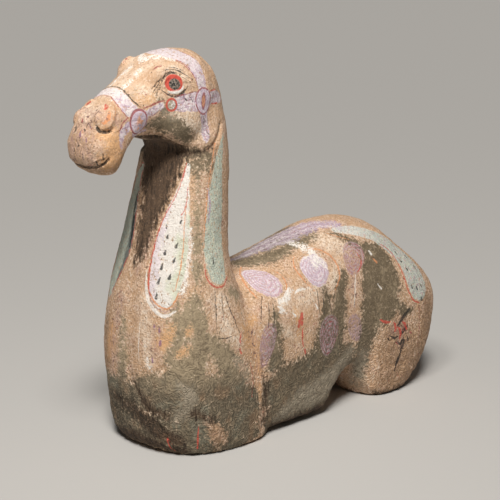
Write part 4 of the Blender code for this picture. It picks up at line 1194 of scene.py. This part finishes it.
def discs_laid(finish, grain, ground):
    """Roundels of lilac with fine purple rings, the harness discs, and the eyes."""
    u, v, edge = finish.kept_parts("disc")
    rings, cover, size = finish.kept_parts("disc make")
    kind = finish.kept("disc kind")
    radius = (u * u + v * v).maths("SQRT")
    wobble = (grain.small - 0.5) * 5.0
    laid = (edge + wobble * 1.4 + (grain.flakes - 0.5) * 5.0).rise(0.7, -0.9)
    close = edge.rise(4.0, 3.0)

    roundel = kind.near(ROUNDEL, 0.5)
    shade = (grain.small * 0.5 + grain.brushed * 0.5).rise(0.44, 0.56)
    fresh = cover.rise(0.45, 0.85)
    body = Coats(finish, PAINT_MAUVE)
    body.lay(PAINT_LAVENDER, fresh)
    body.lay(PAINT_LILAC_PALE, fresh * (0.35 + shade * 0.65))
    splashed = cover.rise(0.84, 0.96) * (grain.broad * 0.5 + v * 0.22).rise(0.24, 0.34)
    turns = (radius * 30.0 + u * 2.0 + wobble * 1.8).wave()
    drawn = turns.rise(0.35, 0.95) * rings * (grain.small * 0.6 + grain.flakes * 0.4).rise(0.42, 0.50)
    body.lay(Coats(finish, PAINT_MAROON).lay(RING_LINE, fresh), drawn * 0.75)
    body.lay(SLIP_WHITE, turns.rise(-0.6, -0.95) * grain.broad.rise(0.46, 0.54) * fresh * 0.4)
    body.lay(SLIP_WHITE, splashed * grain.patchy.rise(0.43, 0.53) * 0.9)
    left = (grain.patchy + cover * 0.30).rise(0.54, 0.74)
    ground.lay(body, laid * roundel * left * 0.92)

    harness = kind.near(HARNESS, 0.5) * close
    bit = kind.near(BIT, 0.5) * close
    ring = kind.near(RING, 0.5) * close
    rim = radius * size - size
    body = Coats(finish, PAINT_LAVENDER).lay(PAINT_LILAC_PALE, shade * 0.5 + 0.4)
    ground.lay(body, laid * harness.most(bit) * 0.92)
    ground.lay(STONE_GREY, laid * ring * 0.8)
    ground.lay(PAINT_WHITE, rim.rise(-2.0, -3.0) * ring * grain.flakes.rise(0.50, 0.58) * 0.8)
    core = (u * u * 5.0 + v * v).maths("SQRT")
    ground.lay(PAINT_ORANGE, core.rise(0.52, 0.42) * harness * 0.85)
    ground.lay(PAINT_MAROON, core.near(0.52, 0.16) * harness * 0.75)
    blots = (grain.small + radius * -0.16).rise(0.40, 0.48) * radius.rise(0.8, 0.6) * u.rise(0.6, -0.1)
    ground.lay(PAINT_ORANGE, blots * bit * 0.8)
    outline = rim.near(-0.8, 1.5) * grain.small.rise(0.34, 0.42)
    ground.lay(PAINT_MAROON, outline * harness * 0.8)
    ground.lay(PAINT_RED, rim.near(-0.7, 1.7) * ring * 0.9)
    ground.lay(PAINT_MAROON, rim.near(-0.9, 1.4 + (u + v) * 0.5) * bit * 0.85)

    eye = kind.near(EYE, 0.5) * close
    ground.lay(PAINT_WHITE, eye * radius.rise(1.24, 1.14) * (u * 0.4 + v).rise(-0.50, -0.90))
    ground.lay(PAINT_RED, eye * radius.rise(1.02, 0.94) * (v + u * 0.2).rise(-1.0, -0.72))
    offset_u, offset_v = u + 0.08, v + 0.12
    pupil = (offset_u * offset_u + offset_v * offset_v).maths("SQRT") + wobble * 0.02
    iris = Coats(finish, PUPIL_GREY).lay(PAINT_BLACK, grain.flakes.rise(0.50, 0.56))
    ground.lay(iris, eye * pupil.rise(0.68, 0.58))


# What the coats of a line are painted with after black, by the number of its kind
INKS = ((MAROON, PAINT_MAROON), (RED, PAINT_RED), (ORANGE, PAINT_ORANGE), (PURPLE, PAINT_PURPLE),
        (CREAM, SLIP_WHITE), (LILAC, PAINT_LAVENDER))


def lines_laid(finish, grain, ground):
    """The fine lines and dabs, thin and broken as a dry brush leaves them."""
    for name in LINES:
        across, within, half_width = finish.kept_parts(name)
        kind = finish.kept(name + " kind")
        ink = Coats(finish, PAINT_BLACK)
        for number, paint in INKS:
            ink.lay(paint, kind.rise(number - 0.6, number - 0.4))
        aside = across + (grain.small - 0.5) * 3.6
        past = (0 - within).most(0)
        beyond = (aside * aside + past * past).maths("SQRT") - half_width
        broken = grain.patchy.rise(0.38, 0.47)
        mask = (beyond + (grain.flakes - 0.5) * 2.6).rise(0.5, -0.5) * broken
        ground.lay(ink, mask * 0.88)


# How strongly the grain shows, how deep it is in metres, and how much the clay shines
BUMP_STRENGTH = 0.85
BUMP_DEPTH = 0.0024
CLAY_SHINE = 0.3


def pottery():
    """The whole finish: clay, stains, each layer of worn paint, and the grain of the surface."""
    finish = Finish("painted_pottery")
    grain = Grain(finish)
    ground, grey = clay_ground(finish, grain)
    slip = stained(finish, grain, ground, grey)
    paint = tongues_laid(finish, grain, ground)
    bands_laid(finish, grain, ground)
    discs_laid(finish, grain, ground)
    lines_laid(finish, grain, ground)
    scratches = abs(grain.brushed - 0.5).rise(0.03, 0.0)
    height = grain.fine * 0.10 + grain.flakes * 0.36 + grain.small * 0.44 + grain.curls * 0.07
    crinkled = grain.up.rise(150.0, 80.0)
    height = height + paint * 0.10 + slip * 0.14 - scratches * 0.12 + grain.curls * crinkled * 0.16
    bump = {"Strength": BUMP_STRENGTH, "Distance": BUMP_DEPTH, "Height": height}
    finish.plug(finish.surface.inputs["Base Color"], ground.colour)
    finish.plug(finish.surface.inputs["Roughness"], grain.small.rise(0.2, 0.8) * 0.2 + 0.68)
    finish.plug(finish.surface.inputs["Normal"], finish.node("Bump", {}, bump).reading("Normal"))
    finish.surface.inputs["Specular IOR Level"].default_value = CLAY_SHINE
    return finish.material


def horse_piece():
    horse = clay_skin()
    shaped(horse)
    thinned(horse)
    marked(horse)
    horse.name = "painted_horse"
    horse.data.name = "painted_horse"
    horse.data.materials.clear()
    horse.data.materials.append(pottery())
    for face in horse.data.polygons:
        face.use_smooth = True
    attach(horse, "root")
    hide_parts("horse_figure")


# The view, in degrees and metres; the lens is given in the picture's own pixels
VIEW_AZIMUTH, VIEW_ELEVATION = 46, 14
VIEW_DISTANCE = 2.2
LOOKED_AT = Vector((0, -0.0204, 0.231))
SENSOR = 36.0
LENS_IN_PIXELS = 1620
PICTURE_WIDTH = 500

# The studio
KEY_AZIMUTH, KEY_ELEVATION, KEY_SOFTNESS = 43, 55, 14
KEY_STRENGTH = 2.7
HEAD_LAMP_PLACE = Vector((0.446, -0.646, 1.351))
HEAD_LAMP_WIDTH = 0.3
HEAD_LAMP_POWER = 8.0
WARM_WHITE = (1.0, 0.965, 0.915)
ROOM_WHITE = (0.95, 0.94, 0.92, 1.0)
ROOM_STRENGTH = 0.07
FLOOR_GREY = (0.52, 0.51, 0.495, 1.0)
FLOOR_ROUGHNESS = 0.9
FLOOR_SHINE = 0.1
FLOOR_SIZE = 60.0


def towards(azimuth, elevation):
    """A place at the viewing distance: the azimuth turns from the horse's front to its left."""
    turn, rise = math.radians(azimuth), math.radians(elevation)
    level = math.cos(rise)
    along = Vector((math.sin(turn) * level, -math.cos(turn) * level, math.sin(rise)))
    return LOOKED_AT + along * VIEW_DISTANCE


def aimed(name, data, place):
    """An object at the place that faces the horse."""
    thing = bpy.data.objects.new(name, data)
    thing.location = place
    thing.rotation_euler = (LOOKED_AT - place).to_track_quat("-Z", "Y").to_euler()
    bpy.context.scene.collection.objects.link(thing)
    return thing


def camera():
    eye = bpy.data.cameras.new("camera")
    eye.sensor_width = SENSOR
    eye.lens = SENSOR * LENS_IN_PIXELS / PICTURE_WIDTH
    bpy.context.scene.camera = aimed("camera", eye, towards(VIEW_AZIMUTH, VIEW_ELEVATION))


def lamp(name, kind, power):
    made = bpy.data.lights.new(name, kind)
    made.energy = power
    made.color = WARM_WHITE
    return made


def studio():
    """An even light from far away, a round lamp close to the head, and a dim pale room."""
    key = lamp("key light", "SUN", KEY_STRENGTH)
    key.angle = math.radians(KEY_SOFTNESS)
    aimed("key light", key, towards(KEY_AZIMUTH, KEY_ELEVATION))
    near = lamp("head light", "AREA", HEAD_LAMP_POWER)
    near.shape = "DISK"
    near.size = HEAD_LAMP_WIDTH
    aimed("head light", near, HEAD_LAMP_PLACE)
    world = bpy.data.worlds.new("pale room")
    world.use_nodes = True
    background = world.node_tree.nodes["Background"]
    background.inputs["Color"].default_value = ROOM_WHITE
    background.inputs["Strength"].default_value = ROOM_STRENGTH
    bpy.context.scene.world = world
    bpy.context.scene.view_settings.view_transform = "Standard"


def floor():
    finish = Finish("pale_floor")
    finish.surface.inputs["Base Color"].default_value = FLOOR_GREY
    finish.surface.inputs["Roughness"].default_value = FLOOR_ROUGHNESS
    finish.surface.inputs["Specular IOR Level"].default_value = FLOOR_SHINE
    mesh = bpy.data.meshes.new("floor")
    half = FLOOR_SIZE / 2
    corners = [(-half, -half, 0), (half, -half, 0), (half, half, 0), (-half, half, 0)]
    mesh.from_pydata(corners, [], [(0, 1, 2, 3)])
    mesh.materials.append(finish.material)
    ground = bpy.data.objects.new("floor", mesh)
    bpy.context.scene.collection.objects.link(ground)


camera()
studio()
floor()
horse_piece()

bpy.context.view_layer.update()
